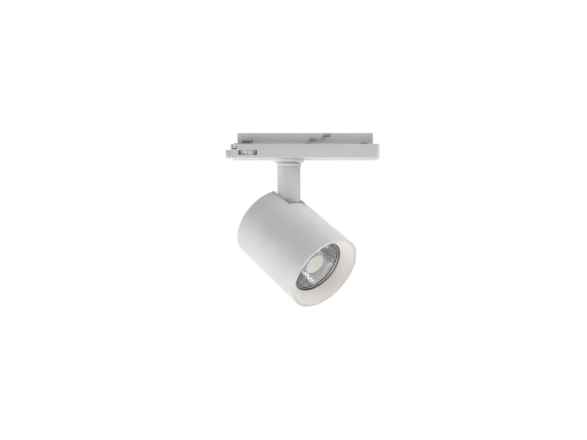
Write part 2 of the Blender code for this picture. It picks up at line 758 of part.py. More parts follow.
def knuckle_mesh():
    """A tall slab across the stem with a round lower end, drawn in X and Z."""
    outline = arc(KNUCKLE_RADIUS, 180, 360, 24, 0, PIVOT_Z)
    top = STEM_TOP + 5 * MM
    outline += [(KNUCKLE_RADIUS + MM, PIVOT_Z + 0.5 * MM), (KNUCKLE_RADIUS + MM, top)]
    outline += [(-KNUCKLE_RADIUS - MM, top), (-KNUCKLE_RADIUS - MM, PIVOT_Z + 0.5 * MM)]
    mesh = plate_mesh("knuckle", [outline], -20 * MM, 20 * MM)
    mesh.transform(Matrix.Rotation(radians(90), 4, "X"))
    return mesh


def fork_slot_mesh():
    """The fork's slot: round over the tongue's eye, and open below the line where the tongue stops."""
    side = 15 * MM
    touch = pi / 2 - TONGUE_DROP
    eye = arc(FORK_EYE_RADIUS, degrees(pi - touch), degrees(touch), 8, 0, PIVOT_Z)
    fall = (side - FORK_EYE_RADIUS * cos(touch)) * sin(TONGUE_DROP) / cos(TONGUE_DROP)
    shoulder = PIVOT_Z + FORK_EYE_RADIUS * sin(touch) - fall
    foot = PIVOT_Z - 20 * MM
    outline = eye + [(side, shoulder), (side, foot), (-side, foot), (-side, shoulder)]
    mesh = plate_mesh("fork_slot", [outline], -FORK_HALF_SLOT, FORK_HALF_SLOT)
    mesh.transform(Matrix.Rotation(radians(90), 4, "X"))
    return mesh


def tilt_screw(pan):
    """The screw through both arms of the fork and the tongue."""
    head, tip = (0, 12.2 * MM, PIVOT_Z), (0, -12.0 * MM, PIVOT_Z)
    add_screw("tilt_screw", head, tip, 4.4 * MM, 2.9 * MM, TILT_SCREW_RADIUS, pan)


def tilt_nut(pan):
    hole = circle(TILT_SCREW_RADIUS + GAP, SMALL_STEPS)
    mesh = plate_mesh("tilt_nut", [circle(4.4 * MM, 6), hole], 9.3 * MM, 11.8 * MM)
    mesh.transform(Matrix.Translation((0, 0, PIVOT_Z)) @ Matrix.Rotation(radians(90), 4, "X"))
    return add_object("tilt_nut", mesh, STEEL, pan)


def tilt_washers(pan):
    """Friction washers between the fork's arms and the tongue."""
    for name, side in (("tilt_washer_left", -1), ("tilt_washer_right", 1)):
        low, high = sorted((side * 4.3 * MM, side * 4.9 * MM))
        hole = circle(TILT_SCREW_RADIUS + GAP, SMALL_STEPS)
        mesh = plate_mesh(name, [circle(5.8 * MM, 24), hole], low, high)
        mesh.transform(Matrix.Translation((0, 0, PIVOT_Z)) @ Matrix.Rotation(radians(90), 4, "X"))
        add_object(name, mesh, BLACK_PLASTIC, pan)


def stem_cable(pan):
    """The cable's stretch inside the nipple and the stem."""
    points = [(0, 0, z * MM) for z in (-9.4, -16, -24, -34)]
    points += [(0.8 * MM, 0, -40 * MM), (0.8 * MM, 0, -46 * MM), (0, 0, -52 * MM), (0, 0, -57 * MM)]
    return wire_object("stem_cable", points, 1.3 * MM, GREY_CABLE, pan)


# ---------------------------------------------------------------- head


def head_tube(head):
    profile = [
        (TUBE_RADIUS - 0.4 * MM, TUBE_LENGTH),
        (TUBE_RADIUS, TUBE_LENGTH - 0.4 * MM),
        (TUBE_RADIUS, 0.4 * MM),
        (TUBE_RADIUS - 0.4 * MM, 0),
        (TUBE_BORE, 0),
        (TUBE_BORE, TUBE_LENGTH),
    ]
    item = turned_object("head_tube", profile, BIG_STEPS, WHITE_METAL, head, HEAD_ORIGIN)
    return cut_boxes(item, ((-50 * MM, -SLOT_HALF_WIDTH, -MM), (-20 * MM, SLOT_HALF_WIDTH, SLOT_END)))


def rear_cover(head):
    """A recessed disc with a notch for the stem and rows of vents."""
    profile = [(0, COVER_FRONT), (FIT_RADIUS, COVER_FRONT), (FIT_RADIUS, COVER_REAR + 0.4 * MM)]
    profile += [(FIT_RADIUS - 0.4 * MM, COVER_REAR), (0, COVER_REAR)]
    item = turned_object("rear_cover", profile, BIG_STEPS, WHITE_METAL, head, HEAD_ORIGIN)
    cut_boxes(item, ((-50 * MM, -POCKET_HALF_WIDTH, 0), (-24.2 * MM, POCKET_HALF_WIDTH, 9 * MM)))
    vents = []
    for row in range(5):
        x = (row * 7.4 - 10) * MM
        vents.append(((x - 1.2 * MM, -13 * MM, 0), (x + 1.2 * MM, 13 * MM, 9 * MM)))
    cut_boxes(item, *vents)
    for y in (-COVER_SCREW_Y, COVER_SCREW_Y):
        cut_rod(item, (0, y, 0), (0, y, 9 * MM), 1.3 * MM)
    return item


def cover_screws(head):
    """Each screw passes the cover and bites in the gap beside a fin."""
    for number, y in enumerate((-COVER_SCREW_Y, COVER_SCREW_Y), 1):
        add_screw(
            f"cover_screw_{number}",
            (0, y, COVER_REAR - 1.8 * MM),
            (0, y, FIN_REAR + 4 * MM),
            2.4 * MM,
            1.5 * MM,
            1.0 * MM,
            head,
            HEAD_ORIGIN,
        )


def heat_sink(head):
    """A disc with parallel fins to the rear, which leave a pocket for the hinge."""
    profile = [(0, SINK_FRONT), (FIT_RADIUS, SINK_FRONT), (FIT_RADIUS, SINK_REAR), (0, SINK_REAR)]
    item = turned_object("heat_sink", profile, BIG_STEPS, ALUMINIUM, head, HEAD_ORIGIN)
    fuse(item, box_mesh("fins", fin_boxes()))
    cut_rod(item, (*LEAD_HOLE, SINK_REAR - MM), (*LEAD_HOLE, SINK_FRONT + MM), 2.6 * MM, 16)
    for y in (-BRACKET_SCREW_Y, BRACKET_SCREW_Y):
        rear, front = (BRACKET_SCREW_X, y, SINK_REAR - MM), (BRACKET_SCREW_X, y, SINK_REAR + 6 * MM)
        cut_rod(item, rear, front, 1.6 * MM, 12)
    return item


def fin_boxes():
    """Fins stand across Y. Those inside the hinge pocket stop below it."""
    boxes = []
    half = FIN_THICKNESS / 2
    for i in range(FIN_COUNT):
        y = (i - (FIN_COUNT - 1) / 2) * FIN_PITCH
        reach = sqrt((FIT_RADIUS - MM) ** 2 - (abs(y) + half) ** 2)
        top = -reach if abs(y) > POCKET_HALF_WIDTH else POCKET_FLOOR
        boxes.append(((top, y - half, FIN_REAR), (reach, y + half, SINK_REAR + 2 * MM)))
    return boxes


def hinge_bracket(head):
    """A foot on the heat sink and a tongue that reaches into the stem's fork."""
    foot = ((-36 * MM, -13 * MM, BRACKET_REAR), (-8 * MM, 13 * MM, BRACKET_FRONT))
    item = add_object("hinge_bracket", box_mesh("hinge_bracket", [foot]), STEEL, head, HEAD_ORIGIN)
    fuse(item, tongue_mesh(BRACKET_REAR + 2 * MM))
    for y in (-BRACKET_SCREW_Y, BRACKET_SCREW_Y):
        rear, front = (BRACKET_SCREW_X, y, BRACKET_REAR - MM), (BRACKET_SCREW_X, y, SINK_REAR)
        cut_rod(item, rear, front, 1.8 * MM, 12)
    pin = (-PIVOT_OFFSET, PIVOT_DEPTH)
    cut_rod(item, (pin[0], -9 * MM, pin[1]), (pin[0], 9 * MM, pin[1]), TILT_SCREW_RADIUS + GAP, SMALL_STEPS)
    return item


def tongue_mesh(root):
    """The tongue's outline in X and Z: a round eye with straight sides down to its root."""
    eye = Vector((-PIVOT_OFFSET, PIVOT_DEPTH))
    low, high = Vector((-25.8 * MM, root)), Vector((-11 * MM, root))
    first = tangent_angle(eye, low, 1)
    last = tangent_angle(eye, high, -1)
    outline = arc(TONGUE_END_RADIUS, first, last, 18, eye.x, eye.y)
    outline += [tuple(high), tuple(low)]
    mesh = plate_mesh("tongue", [outline], -TONGUE_HALF_WIDTH, TONGUE_HALF_WIDTH)
    mesh.transform(Matrix.Rotation(radians(90), 4, "X"))
    return mesh


def tangent_angle(centre, point, side):
    """Where a line from a point touches the tongue's eye, in degrees."""
    away = point - centre
    base = atan2(away.y, away.x)
    swing = pi / 2 - asin(TONGUE_END_RADIUS / hypot(away.x, away.y))
    angle = degrees(base + side * swing)
    return angle if side > 0 else angle + 360


def bracket_screws(head):
    for number, y in enumerate((-BRACKET_SCREW_Y, BRACKET_SCREW_Y), 1):
        add_screw(
            f"bracket_screw_{number}",
            (BRACKET_SCREW_X, y, BRACKET_REAR - 2.3 * MM),
            (BRACKET_SCREW_X, y, SINK_REAR + 5 * MM),
            2.8 * MM,
            2.0 * MM,
            1.3 * MM,
            head,
            HEAD_ORIGIN,
        )


def light_source(head):
    """The chip's board and its round emitting patch."""
    half = 12.0 * MM
    board = rounded_outline(-half, half, half, MM, MM, 2)
    mesh = plate_mesh("cob_board", [board], SINK_FRONT + GAP, CHIP_FRONT)
    add_object("cob_board", mesh, ALUMINIUM, head, HEAD_ORIGIN)
    top = CHIP_FRONT + GAP + 0.9 * MM
    profile = [(0, top), (EMITTER_RADIUS - 0.3 * MM, top), (EMITTER_RADIUS, top - 0.4 * MM)]
    profile += [(EMITTER_RADIUS, CHIP_FRONT + GAP), (0, CHIP_FRONT + GAP)]
    turned_object("led_emitter", profile, MEDIUM_STEPS, PHOSPHOR, head, HEAD_ORIGIN)


def cob_holder(head):
    """A moulded frame that presses the chip's board to the heat sink."""
    profile = [
        (11.0 * MM, HOLDER_FRONT),
        (23.6 * MM, HOLDER_FRONT),
        (25.0 * MM, HOLDER_FRONT - 1.5 * MM),
        (25.0 * MM, SINK_FRONT + GAP),
        (17.6 * MM, SINK_FRONT + GAP),
        (17.6 * MM, CHIP_FRONT + GAP),
        (10.0 * MM, CHIP_FRONT + GAP),
        (10.0 * MM, HOLDER_FRONT - 1.5 * MM),
    ]
    item = turned_object("cob_holder", profile, MEDIUM_STEPS, WHITE_PLASTIC, head, HEAD_ORIGIN)
    for y in (-HOLDER_SCREW_Y, HOLDER_SCREW_Y):
        cut_rod(item, (0, y, SINK_FRONT - MM), (0, y, HOLDER_FRONT - MM), 1.4 * MM, 10)
        cut_rod(item, (0, y, HOLDER_FRONT - 2 * MM), (0, y, HOLDER_FRONT + MM), 2.7 * MM, 10)
    return item


def holder_screws(head):
    for number, y in enumerate((-HOLDER_SCREW_Y, HOLDER_SCREW_Y), 1):
        add_screw(
            f"holder_screw_{number}",
            (0, y, HOLDER_FRONT - 0.2 * MM),
            (0, y, SINK_FRONT + GAP),
            2.4 * MM,
            1.4 * MM,
            1.1 * MM,
            head,
            HEAD_ORIGIN,
        )


def condenser_lens(head):
    """A frosted light guide with a slightly domed front, which stands on the holder."""
    shoulder = LENS_FRONT - LENS_RISE
    dome = [(LENS_RADIUS * sin(a), shoulder + LENS_RISE * cos(a)) for a in (0, 0.35, 0.7, 1.05, 1.35)]
    foot = HOLDER_FRONT + GAP
    profile = dome + [(LENS_RADIUS, shoulder), (LENS_RADIUS - 1.5 * MM, foot), (0, foot)]
    return turned_object("condenser_lens", profile, MEDIUM_STEPS, LENS, head, HEAD_ORIGIN)


def bowl(share):
    """Radius of the reflector at a share of its depth, from throat to mouth."""
    return REFLECTOR_THROAT + (REFLECTOR_MOUTH - REFLECTOR_THROAT) * share**0.55


def reflector(head):
    wall = 1.0 * MM
    depth = REFLECTOR_FRONT - REFLECTOR_REAR
    shares = [i / 6 for i in range(7)]
    inside = [(bowl(share), REFLECTOR_REAR + depth * share) for share in shares]
    outside = [(radius + wall, height) for radius, height in inside[:-1]]
    rim = [(GLASS_RADIUS, REFLECTOR_FRONT), (GLASS_RADIUS, REFLECTOR_FRONT - wall)]
    profile = rim + [(inside[-1][0] + wall, REFLECTOR_FRONT - wall)] + outside[::-1] + inside
    return turned_object("reflector", profile, MEDIUM_STEPS * 2, MIRROR, head, HEAD_ORIGIN)


def optic_housing(head):
    """The sleeve round the reflector, with a flange that centres it in the tube."""
    rear = SINK_FRONT + GAP
    front = GLASS_FRONT + 0.2 * MM
    profile = [
        (FIT_RADIUS, front),
        (FIT_RADIUS, front - 2.5 * MM),
        (37.0 * MM, front - 2.5 * MM),
        (37.0 * MM, rear),
        (35.0 * MM, rear),
        (35.0 * MM, front - 3.5 * MM),
        (GLASS_RADIUS + GAP, front - 3.5 * MM),
        (GLASS_RADIUS + GAP, front),
    ]
    return turned_object("optic_housing", profile, BIG_STEPS, BLACK_PLASTIC, head, HEAD_ORIGIN)


def front_glass(head):
    profile = [(0, GLASS_FRONT), (GLASS_RADIUS, GLASS_FRONT), (GLASS_RADIUS, GLASS_REAR), (0, GLASS_REAR)]
    return turned_object("front_glass", profile, BIG_STEPS, GLASS, head, HEAD_ORIGIN)


def retaining_ring(head):
    front = BAFFLE_REAR - 1.3 * MM
    rear = GLASS_FRONT + 0.5 * MM
    profile = [
        (FIT_RADIUS, front),
        (FIT_RADIUS, rear),
        (REFLECTOR_MOUTH, rear),
        (REFLECTOR_MOUTH, rear + 0.3 * MM),
        (BAFFLE_THROAT, front),
    ]
    return turned_object("retaining_ring", profile, BIG_STEPS, DARK_METAL, head, HEAD_ORIGIN)


def baffle_ring(head):
    """The pale anti-glare cone inside the tube's mouth."""
    rear = BAFFLE_REAR - MM
    profile = [
        (FIT_RADIUS, BAFFLE_FRONT),
        (FIT_RADIUS, rear),
        (42.4 * MM, rear),
        (42.4 * MM, BAFFLE_FRONT - 2.2 * MM),
        (BAFFLE_THROAT + 0.9 * MM, rear),
        (BAFFLE_THROAT, rear),
        (BAFFLE_THROAT, BAFFLE_REAR),
        (FIT_RADIUS - 0.7 * MM, BAFFLE_FRONT),
    ]
    return turned_object("baffle_ring", profile, BIG_STEPS, CREAM, head, HEAD_ORIGIN)


def light_leads(head):
    """The red and black leads from the hinge pocket through the heat sink to the holder's edge."""
    for name, finish, step in (("lead_red", RED_WIRE, -1.1 * MM), ("lead_black", BLACK_WIRE, 1.1 * MM)):
        x, y = LEAD_HOLE[0] + step, LEAD_HOLE[1]
        points = [
            (x - 3 * MM, y - 0.8 * MM, 33 * MM),
            (x - 1.5 * MM, y - 0.4 * MM, 40 * MM),
            (x, y, 46 * MM),
            (x, y, 59.5 * MM),
            (x + 0.5 * MM, y - 0.4 * MM, 61.5 * MM),
            (x + 1.4 * MM, y - 1.2 * MM, 62.5 * MM),
        ]
        wire_object(name, points, 0.75 * MM, finish, head, HEAD_ORIGIN)


# ---------------------------------------------------------------- assembly


clear_scene()
parts = new_collection("track_spotlight")
tools = new_collection("tools")

WHITE_METAL = material("white_powder_coat", (0.72, 0.72, 0.72), 0.5)
WHITE_PLASTIC = material("white_plastic", (0.74, 0.74, 0.73), 0.45)
BLACK_PLASTIC = material("black_plastic", (0.03, 0.03, 0.03), 0.5)
CREAM = material("cream_baffle", (0.84, 0.80, 0.76), 0.6)
STEEL = material("zinc_steel", (0.60, 0.60, 0.62), 0.35, 1.0)
COPPER = material("copper_contact", (0.72, 0.42, 0.24), 0.3, 1.0)
ALUMINIUM = material("bare_aluminium", (0.76, 0.77, 0.78), 0.35, 1.0)
DARK_METAL = material("dark_ring", (0.25, 0.26, 0.26), 0.4, 0.6)
MIRROR = material("mirror_aluminium", (0.85, 0.86, 0.87), 0.12, 1.0)
GLASS = material("clear_glass", (0.95, 0.97, 0.97), 0.05, 0.0, 0.25)
LENS = material("frosted_lens", (0.93, 0.90, 0.78), 0.3)
PHOSPHOR = material("led_phosphor", (0.95, 0.85, 0.40), 0.5)
GREEN_BOARD = material("circuit_board", (0.05, 0.28, 0.12), 0.4)
FERRITE = material("ferrite", (0.10, 0.10, 0.11), 0.6)
SLEEVE = material("capacitor_sleeve", (0.04, 0.05, 0.16), 0.3)
FILM_YELLOW = material("film_capacitor", (0.80, 0.60, 0.10), 0.4)
GREY_CABLE = material("grey_cable", (0.55, 0.55, 0.55), 0.5)
RED_WIRE = material("red_wire", (0.65, 0.05, 0.04), 0.4)
BLACK_WIRE = material("black_wire", (0.03, 0.03, 0.03), 0.4)


def add_empty(name, parent, location, rotation):
    empty = bpy.data.objects.new(name, None)
    empty.parent = parent
    empty.location = location
    empty.rotation_euler = Euler(rotation)
    parts.objects.link(empty)
    return empty


def build_adapter():
    adapter_housing()
    track_body()
    contacts()
    release_slider()
    lock_lug("lock_lug_front", FRONT_LUG_X, -1)
    lock_lug("lock_lug_rear", REAR_LUG_X, 1)
    release_spring()
    phase_selector_wheel()
    selector_wiper()
    driver_board()
    board_screws()
    transformer()
    capacitors()
    output_terminal()
    adapter_cable()
    swivel_flange()
    flange_screws()


def build_swivel(pan):
    for make in (swivel_collar, swivel_nipple, swivel_nut, stop_washer, wave_washer):
        make(pan)
    for make in (stem_tube, tilt_screw, tilt_nut, tilt_washers, stem_cable):
        make(pan)


def build_head(head):
    for make in (head_tube, rear_cover, cover_screws, heat_sink, hinge_bracket, bracket_screws):
        make(head)
    for make in (light_source, cob_holder, holder_screws, condenser_lens, reflector):
        make(head)
    for make in (optic_housing, front_glass, retaining_ring, baffle_ring, light_leads):
        make(head)


pan_axis = add_empty("pan_axis", None, (0, 0, 0), (0, 0, PAN_ANGLE))
tilt_axis = add_empty("tilt_axis", pan_axis, (0, 0, PIVOT_Z), (0, pi / 2 + TILT_ANGLE, 0))
build_adapter()
build_swivel(pan_axis)
build_head(tilt_axis)
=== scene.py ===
"""Looks of the track spotlight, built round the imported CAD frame. Lengths are in metres."""

import json
from math import acos, atan2, cos, hypot, pi, radians, sin, sqrt

import bmesh
import bpy
from mathutils import Matrix, Vector


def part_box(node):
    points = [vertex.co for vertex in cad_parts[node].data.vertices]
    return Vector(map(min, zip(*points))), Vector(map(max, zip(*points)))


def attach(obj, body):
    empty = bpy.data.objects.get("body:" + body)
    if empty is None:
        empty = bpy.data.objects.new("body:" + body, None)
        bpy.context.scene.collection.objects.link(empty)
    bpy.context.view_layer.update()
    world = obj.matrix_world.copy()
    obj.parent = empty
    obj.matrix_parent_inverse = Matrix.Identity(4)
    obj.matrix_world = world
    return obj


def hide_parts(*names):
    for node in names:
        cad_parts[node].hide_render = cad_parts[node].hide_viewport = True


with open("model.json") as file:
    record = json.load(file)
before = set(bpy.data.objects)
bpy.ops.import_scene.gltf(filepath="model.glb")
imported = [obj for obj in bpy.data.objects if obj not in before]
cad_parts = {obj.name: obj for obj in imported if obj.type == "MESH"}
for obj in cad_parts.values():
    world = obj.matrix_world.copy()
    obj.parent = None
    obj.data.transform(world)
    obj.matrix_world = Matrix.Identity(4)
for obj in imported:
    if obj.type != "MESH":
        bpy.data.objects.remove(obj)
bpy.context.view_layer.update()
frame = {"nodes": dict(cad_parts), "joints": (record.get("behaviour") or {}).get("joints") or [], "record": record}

MM = 0.001

# Design sizes that the fine meshes repeat, in metres
TUBE_RADIUS = 46.0 * MM
TUBE_WALL = 2.0 * MM
TUBE_LENGTH = 108.3 * MM
FIT_RADIUS = 43.7 * MM
SLOT_HALF_WIDTH = 13.8 * MM
SLOT_END = 29.9 * MM
GLASS_MIDDLE = 91.6 * MM
GLASS_RADIUS = 33.5 * MM
GLASS_THICKNESS = 1.0 * MM
RETAINER_REAR = 92.6 * MM
LIP_MIDDLE = 92.72 * MM
LIP_HALF_WIDTH = 0.42 * MM
LIP_HALF_HEIGHT = 0.3 * MM
REFLECTOR_REAR = 65.5 * MM
REFLECTOR_FRONT = 90.4 * MM
REFLECTOR_THROAT = 13.2 * MM
REFLECTOR_MOUTH = 30.6 * MM
REFLECTOR_RIM = GLASS_RADIUS - 0.2 * MM
LENS_RADIUS = 12.2 * MM
LENS_FRONT = 90.4 * MM
LENS_RISE = 1.4 * MM
LENS_REAR = 64.8 * MM
BAFFLE_THROAT = 33.0 * MM
BAFFLE_REAR = 95.4 * MM
BAFFLE_FRONT = 107.9 * MM
COVER_OUTER = 4.0 * MM
COVER_INNER = 6.0 * MM
COVER_CUT = 9 * MM
COVER_NOTCH_HALF_WIDTH = 15.0 * MM
COVER_NOTCH_END = -24.2 * MM
COVER_SCREW_Y = 25.9 * MM
VENT_ROWS = 5
VENT_START = -10 * MM
VENT_PITCH = 7.4 * MM
VENT_HALF_WIDTH = 1.2 * MM
VENT_HALF_LENGTH = 13 * MM
VENT_CORNER = 1.1 * MM
STEM_RADIUS = 13.5 * MM
STEM_TOP = -25.7 * MM
FORK_HALF_WIDTH = 5.2 * MM
FLANGE_RADIUS = 17.85 * MM
FLANGE_TOP = -16.5 * MM
FLANGE_BOTTOM = -20.1 * MM
NIPPLE_HOLE = 5.3 * MM
HOUSING_HALF_WIDTH = 18.0 * MM
HOUSING_WALL = 2.0 * MM
WINDOW_LOW = (-58.4 * MM, -19 * MM, -12.7 * MM)
WINDOW_HIGH = (-36.8 * MM, -15 * MM, -7.2 * MM)
WHEEL_TEETH = 24
WHEEL_GROOVE = 0.8 * MM

CAMERA_PLACE = (0.00542, -0.85923, -0.08796)
CAMERA_LENS = 44.71
CAMERA_SENSOR = 36

# Surroundings: brightness behind the lamp, even glow, and lobes as direction and power
BACKDROP = 1.0
GLOW = 0.19
LOBES = [((0, 1, 0), 0.7)]

# Soft boxes: place, where they point, size and power. Those near the floor point straight up.
LAMP = (0.0, 0.0, -0.09)
SOFT_BOXES = {
    "left_low": ((-1.2, -0.5, -0.3), LAMP, 0.5, 3.35),
    "left_back": ((-1.2, 0.9, 0.2), LAMP, 0.8, 0.83),
    "right_high": ((1.1, -0.3, 0.9), LAMP, 0.8, 12.8),
    "right_top": ((0.6, -0.1, 1.4), LAMP, 0.8, 1.75),
    "top": ((-0.3, 0.3, 1.5), LAMP, 0.9, 1.55),
    "under_left": ((-0.5, -0.3, -0.52), (-0.5, -0.3, 0.0), 0.5, 2.5),
    "under_front": ((0.05, -0.7, -0.52), (0.05, -0.7, 0.0), 0.5, 1.8),
    "under_right": ((0.5, -0.2, -0.52), (0.5, -0.2, 0.0), 0.5, 1.55),
}

FLOOR_RADIUS = 0.76
FLOOR_TOP = -0.600
FLOOR_UNDER = -0.615

SEGMENTS = 192
UP = Vector((0, 0, 1))


# ---------------------------------------------------------------- frame and camera


def joint(name):
    return next(j for j in frame["joints"] if j["name"] == name)


def swivel_axes():
    """The forward and sideways directions of the stem at rest, from the tilt pin."""
    side = Vector(joint("tilt")["axis"]).normalized()
    return side.cross(UP).normalized(), side


FORWARD, SIDE = swivel_axes()
TILT = radians(-joint("tilt")["range_deg"][0])
PIVOT = Vector(joint("tilt")["pos_m"])


def matrix_of(x_axis, y_axis, z_axis, origin):
    turned = Matrix((x_axis, y_axis, z_axis)).transposed().to_4x4()
    return Matrix.Translation(origin) @ turned


def head_matrix():
    """Head frame: X to the head's under side, Y along the pin, Z along the beam, origin at the rear rim."""
    beam = FORWARD * cos(TILT) - UP * sin(TILT)
    under = FORWARD * -sin(TILT) - UP * cos(TILT)
    low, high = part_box("front_glass")
    return matrix_of(under, SIDE, beam, (low + high) / 2 - beam * GLASS_MIDDLE)


HEAD = head_matrix()
SWIVEL = matrix_of(FORWARD, SIDE, UP, Vector((0, 0, 0)))
WORLD = Matrix.Identity(4)


def add_camera():
    data = bpy.data.cameras.new("camera")
    data.lens = CAMERA_LENS
    data.sensor_width = CAMERA_SENSOR
    data.clip_start = 0.01
    camera = bpy.data.objects.new("camera", data)
    camera.location = CAMERA_PLACE
    camera.rotation_euler = (pi / 2, 0, 0)
    bpy.context.scene.collection.objects.link(camera)
    bpy.context.scene.camera = camera


# ---------------------------------------------------------------- mesh tools


def add_mesh(name, mesh):
    item = bpy.data.objects.new(name, mesh)
    bpy.context.scene.collection.objects.link(item)
    return item


def from_bmesh(name, bm):
    mesh = bpy.data.meshes.new(name)
    bmesh.ops.recalc_face_normals(bm, faces=bm.faces)
    bm.to_mesh(mesh)
    bm.free()
    return add_mesh(name, mesh)


def smooth(item, degrees=32):
    item.data.shade_smooth()
    item.data.set_sharp_from_angle(angle=radians(degrees))
    return item


def apply_modifiers(item):
    evaluated = item.evaluated_get(bpy.context.evaluated_depsgraph_get())
    mesh = bpy.data.meshes.new_from_object(evaluated)
    item.modifiers.clear()
    old = item.data
    item.data = mesh
    bpy.data.meshes.remove(old)
    return item


def bevel(item, width, segments=3, degrees=35):
    step = item.modifiers.new("Bevel", "BEVEL")
    step.width = width
    step.segments = segments
    step.limit_method = "ANGLE"
    step.angle_limit = radians(degrees)
    step.use_clamp_overlap = True
    return apply_modifiers(item)


def combine(item, tool, operation):
    """Boolean with another piece, which is used up. It is done a thousand times larger for accuracy."""
    for piece in (item, tool):
        piece.data.transform(Matrix.Scale(1 / MM, 4))
    step = item.modifiers.new(operation, "BOOLEAN")
    step.operation = operation
    step.solver = "EXACT"
    step.object = tool
    apply_modifiers(item)
    item.data.transform(Matrix.Scale(MM, 4))
    bpy.data.objects.remove(tool)
    return item


def cut(item, tool):
    return combine(item, tool, "DIFFERENCE")


def fuse(item, tool):
    return combine(item, tool, "UNION")


def fillet(points, steps=5):
    """Round the corners of a closed outline of (x, y, radius) points."""
    done = []
    count = len(points)
    for i, (x, y, radius) in enumerate(points):
        here = Vector((x, y))
        if radius <= 0:
            done.append((x, y))
            continue
        before = (Vector(points[i - 1][:2]) - here).normalized()
        after = (Vector(points[(i + 1) % count][:2]) - here).normalized()
        half = acos(max(-1, min(1, before.dot(after)))) / 2
        reach = radius / max(0.05, abs(sin(half) / cos(half)))
        middle = (before + after).normalized()
        centre = here + middle * (radius / sin(half))
        start = here + before * reach - centre
        end = here + after * reach - centre
        turn = atan2(start.x * end.y - start.y * end.x, start.dot(end))
        for k in range(steps + 1):
            spun = Matrix.Rotation(turn * k / steps, 2) @ start
            done.append(tuple(centre + spun))
    return done


def lathe(name, outline, segments=SEGMENTS, place=HEAD):
    """Turn a closed outline of (radius, height) round Z. Points on the axis become one vertex."""
    bm = bmesh.new()
    rings = []
    for radius, height in outline:
        if radius < 1e-7:
            rings.append([bm.verts.new((0, 0, height))])
            continue
        turns = [2 * pi * (i + 0.5) / segments for i in range(segments)]
        rings.append([bm.verts.new((radius * cos(a), radius * sin(a), height)) for a in turns])
    for i, ring in enumerate(rings):
        join_rings(bm, ring, rings[(i + 1) % len(rings)])
    item = from_bmesh(name, bm)
    item.data.transform(place)
    return smooth(item)


def join_rings(bm, first, second):
    if len(first) == 1 and len(second) == 1:
        return
    count = max(len(first), len(second))
    for i in range(count):
        j = (i + 1) % count
        corners = [first[i % len(first)], first[j % len(first)]]
        corners += [second[j % len(second)], second[i % len(second)]]
        bm.faces.new(list(dict.fromkeys(corners)))


def prism(name, outline, low, high, place=WORLD):
    """A flat outline in X and Y between two heights."""
    bm = bmesh.new()
    bottom = [bm.verts.new((x, y, low)) for x, y in outline]
    top = [bm.verts.new((x, y, high)) for x, y in outline]
    bm.faces.new(bottom[::-1])
    bm.faces.new(top)
    for i in range(len(outline)):
        j = (i + 1) % len(outline)
        bm.faces.new((bottom[i], bottom[j], top[j], top[i]))
    item = from_bmesh(name, bm)
    item.data.transform(place)
    return item


def block(name, low, high, place=WORLD):
    outline = [(low[0], low[1]), (high[0], low[1]), (high[0], high[1]), (low[0], high[1])]
    return prism(name, outline, low[2], high[2], place)


def rod(name, start, end, radius, segments=48):
    """A cylinder from one point to another."""
    start, end = Vector(start), Vector(end)
    along = end - start
    turn = UP.rotation_difference(along).to_matrix().to_4x4()
    bm = bmesh.new()
    size = {"radius1": radius, "radius2": radius, "depth": along.length}
    bmesh.ops.create_cone(bm, cap_ends=True, segments=segments, **size)
    item = from_bmesh(name, bm)
    item.data.transform(Matrix.Translation((start + end) / 2) @ turn)
    return item


def full_turn(count):
    """Evenly spaced angles all the way round."""
    return [2 * pi * i / count for i in range(count)]


def arc(radius, start, end, steps, x=0.0, y=0.0):
    turns = [radians(start + (end - start) * i / steps) for i in range(steps + 1)]
    return [(x + radius * cos(a), y + radius * sin(a)) for a in turns]


def finish_piece(item, body, material, slot, *nodes):
    """Give a piece its material and its body, and hide the CAD nodes it stands for."""
    item.data.materials.clear()
    item.data.materials.append(material)
    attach(item, body)
    if nodes:
        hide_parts(*nodes)
    return item


# ---------------------------------------------------------------- materials


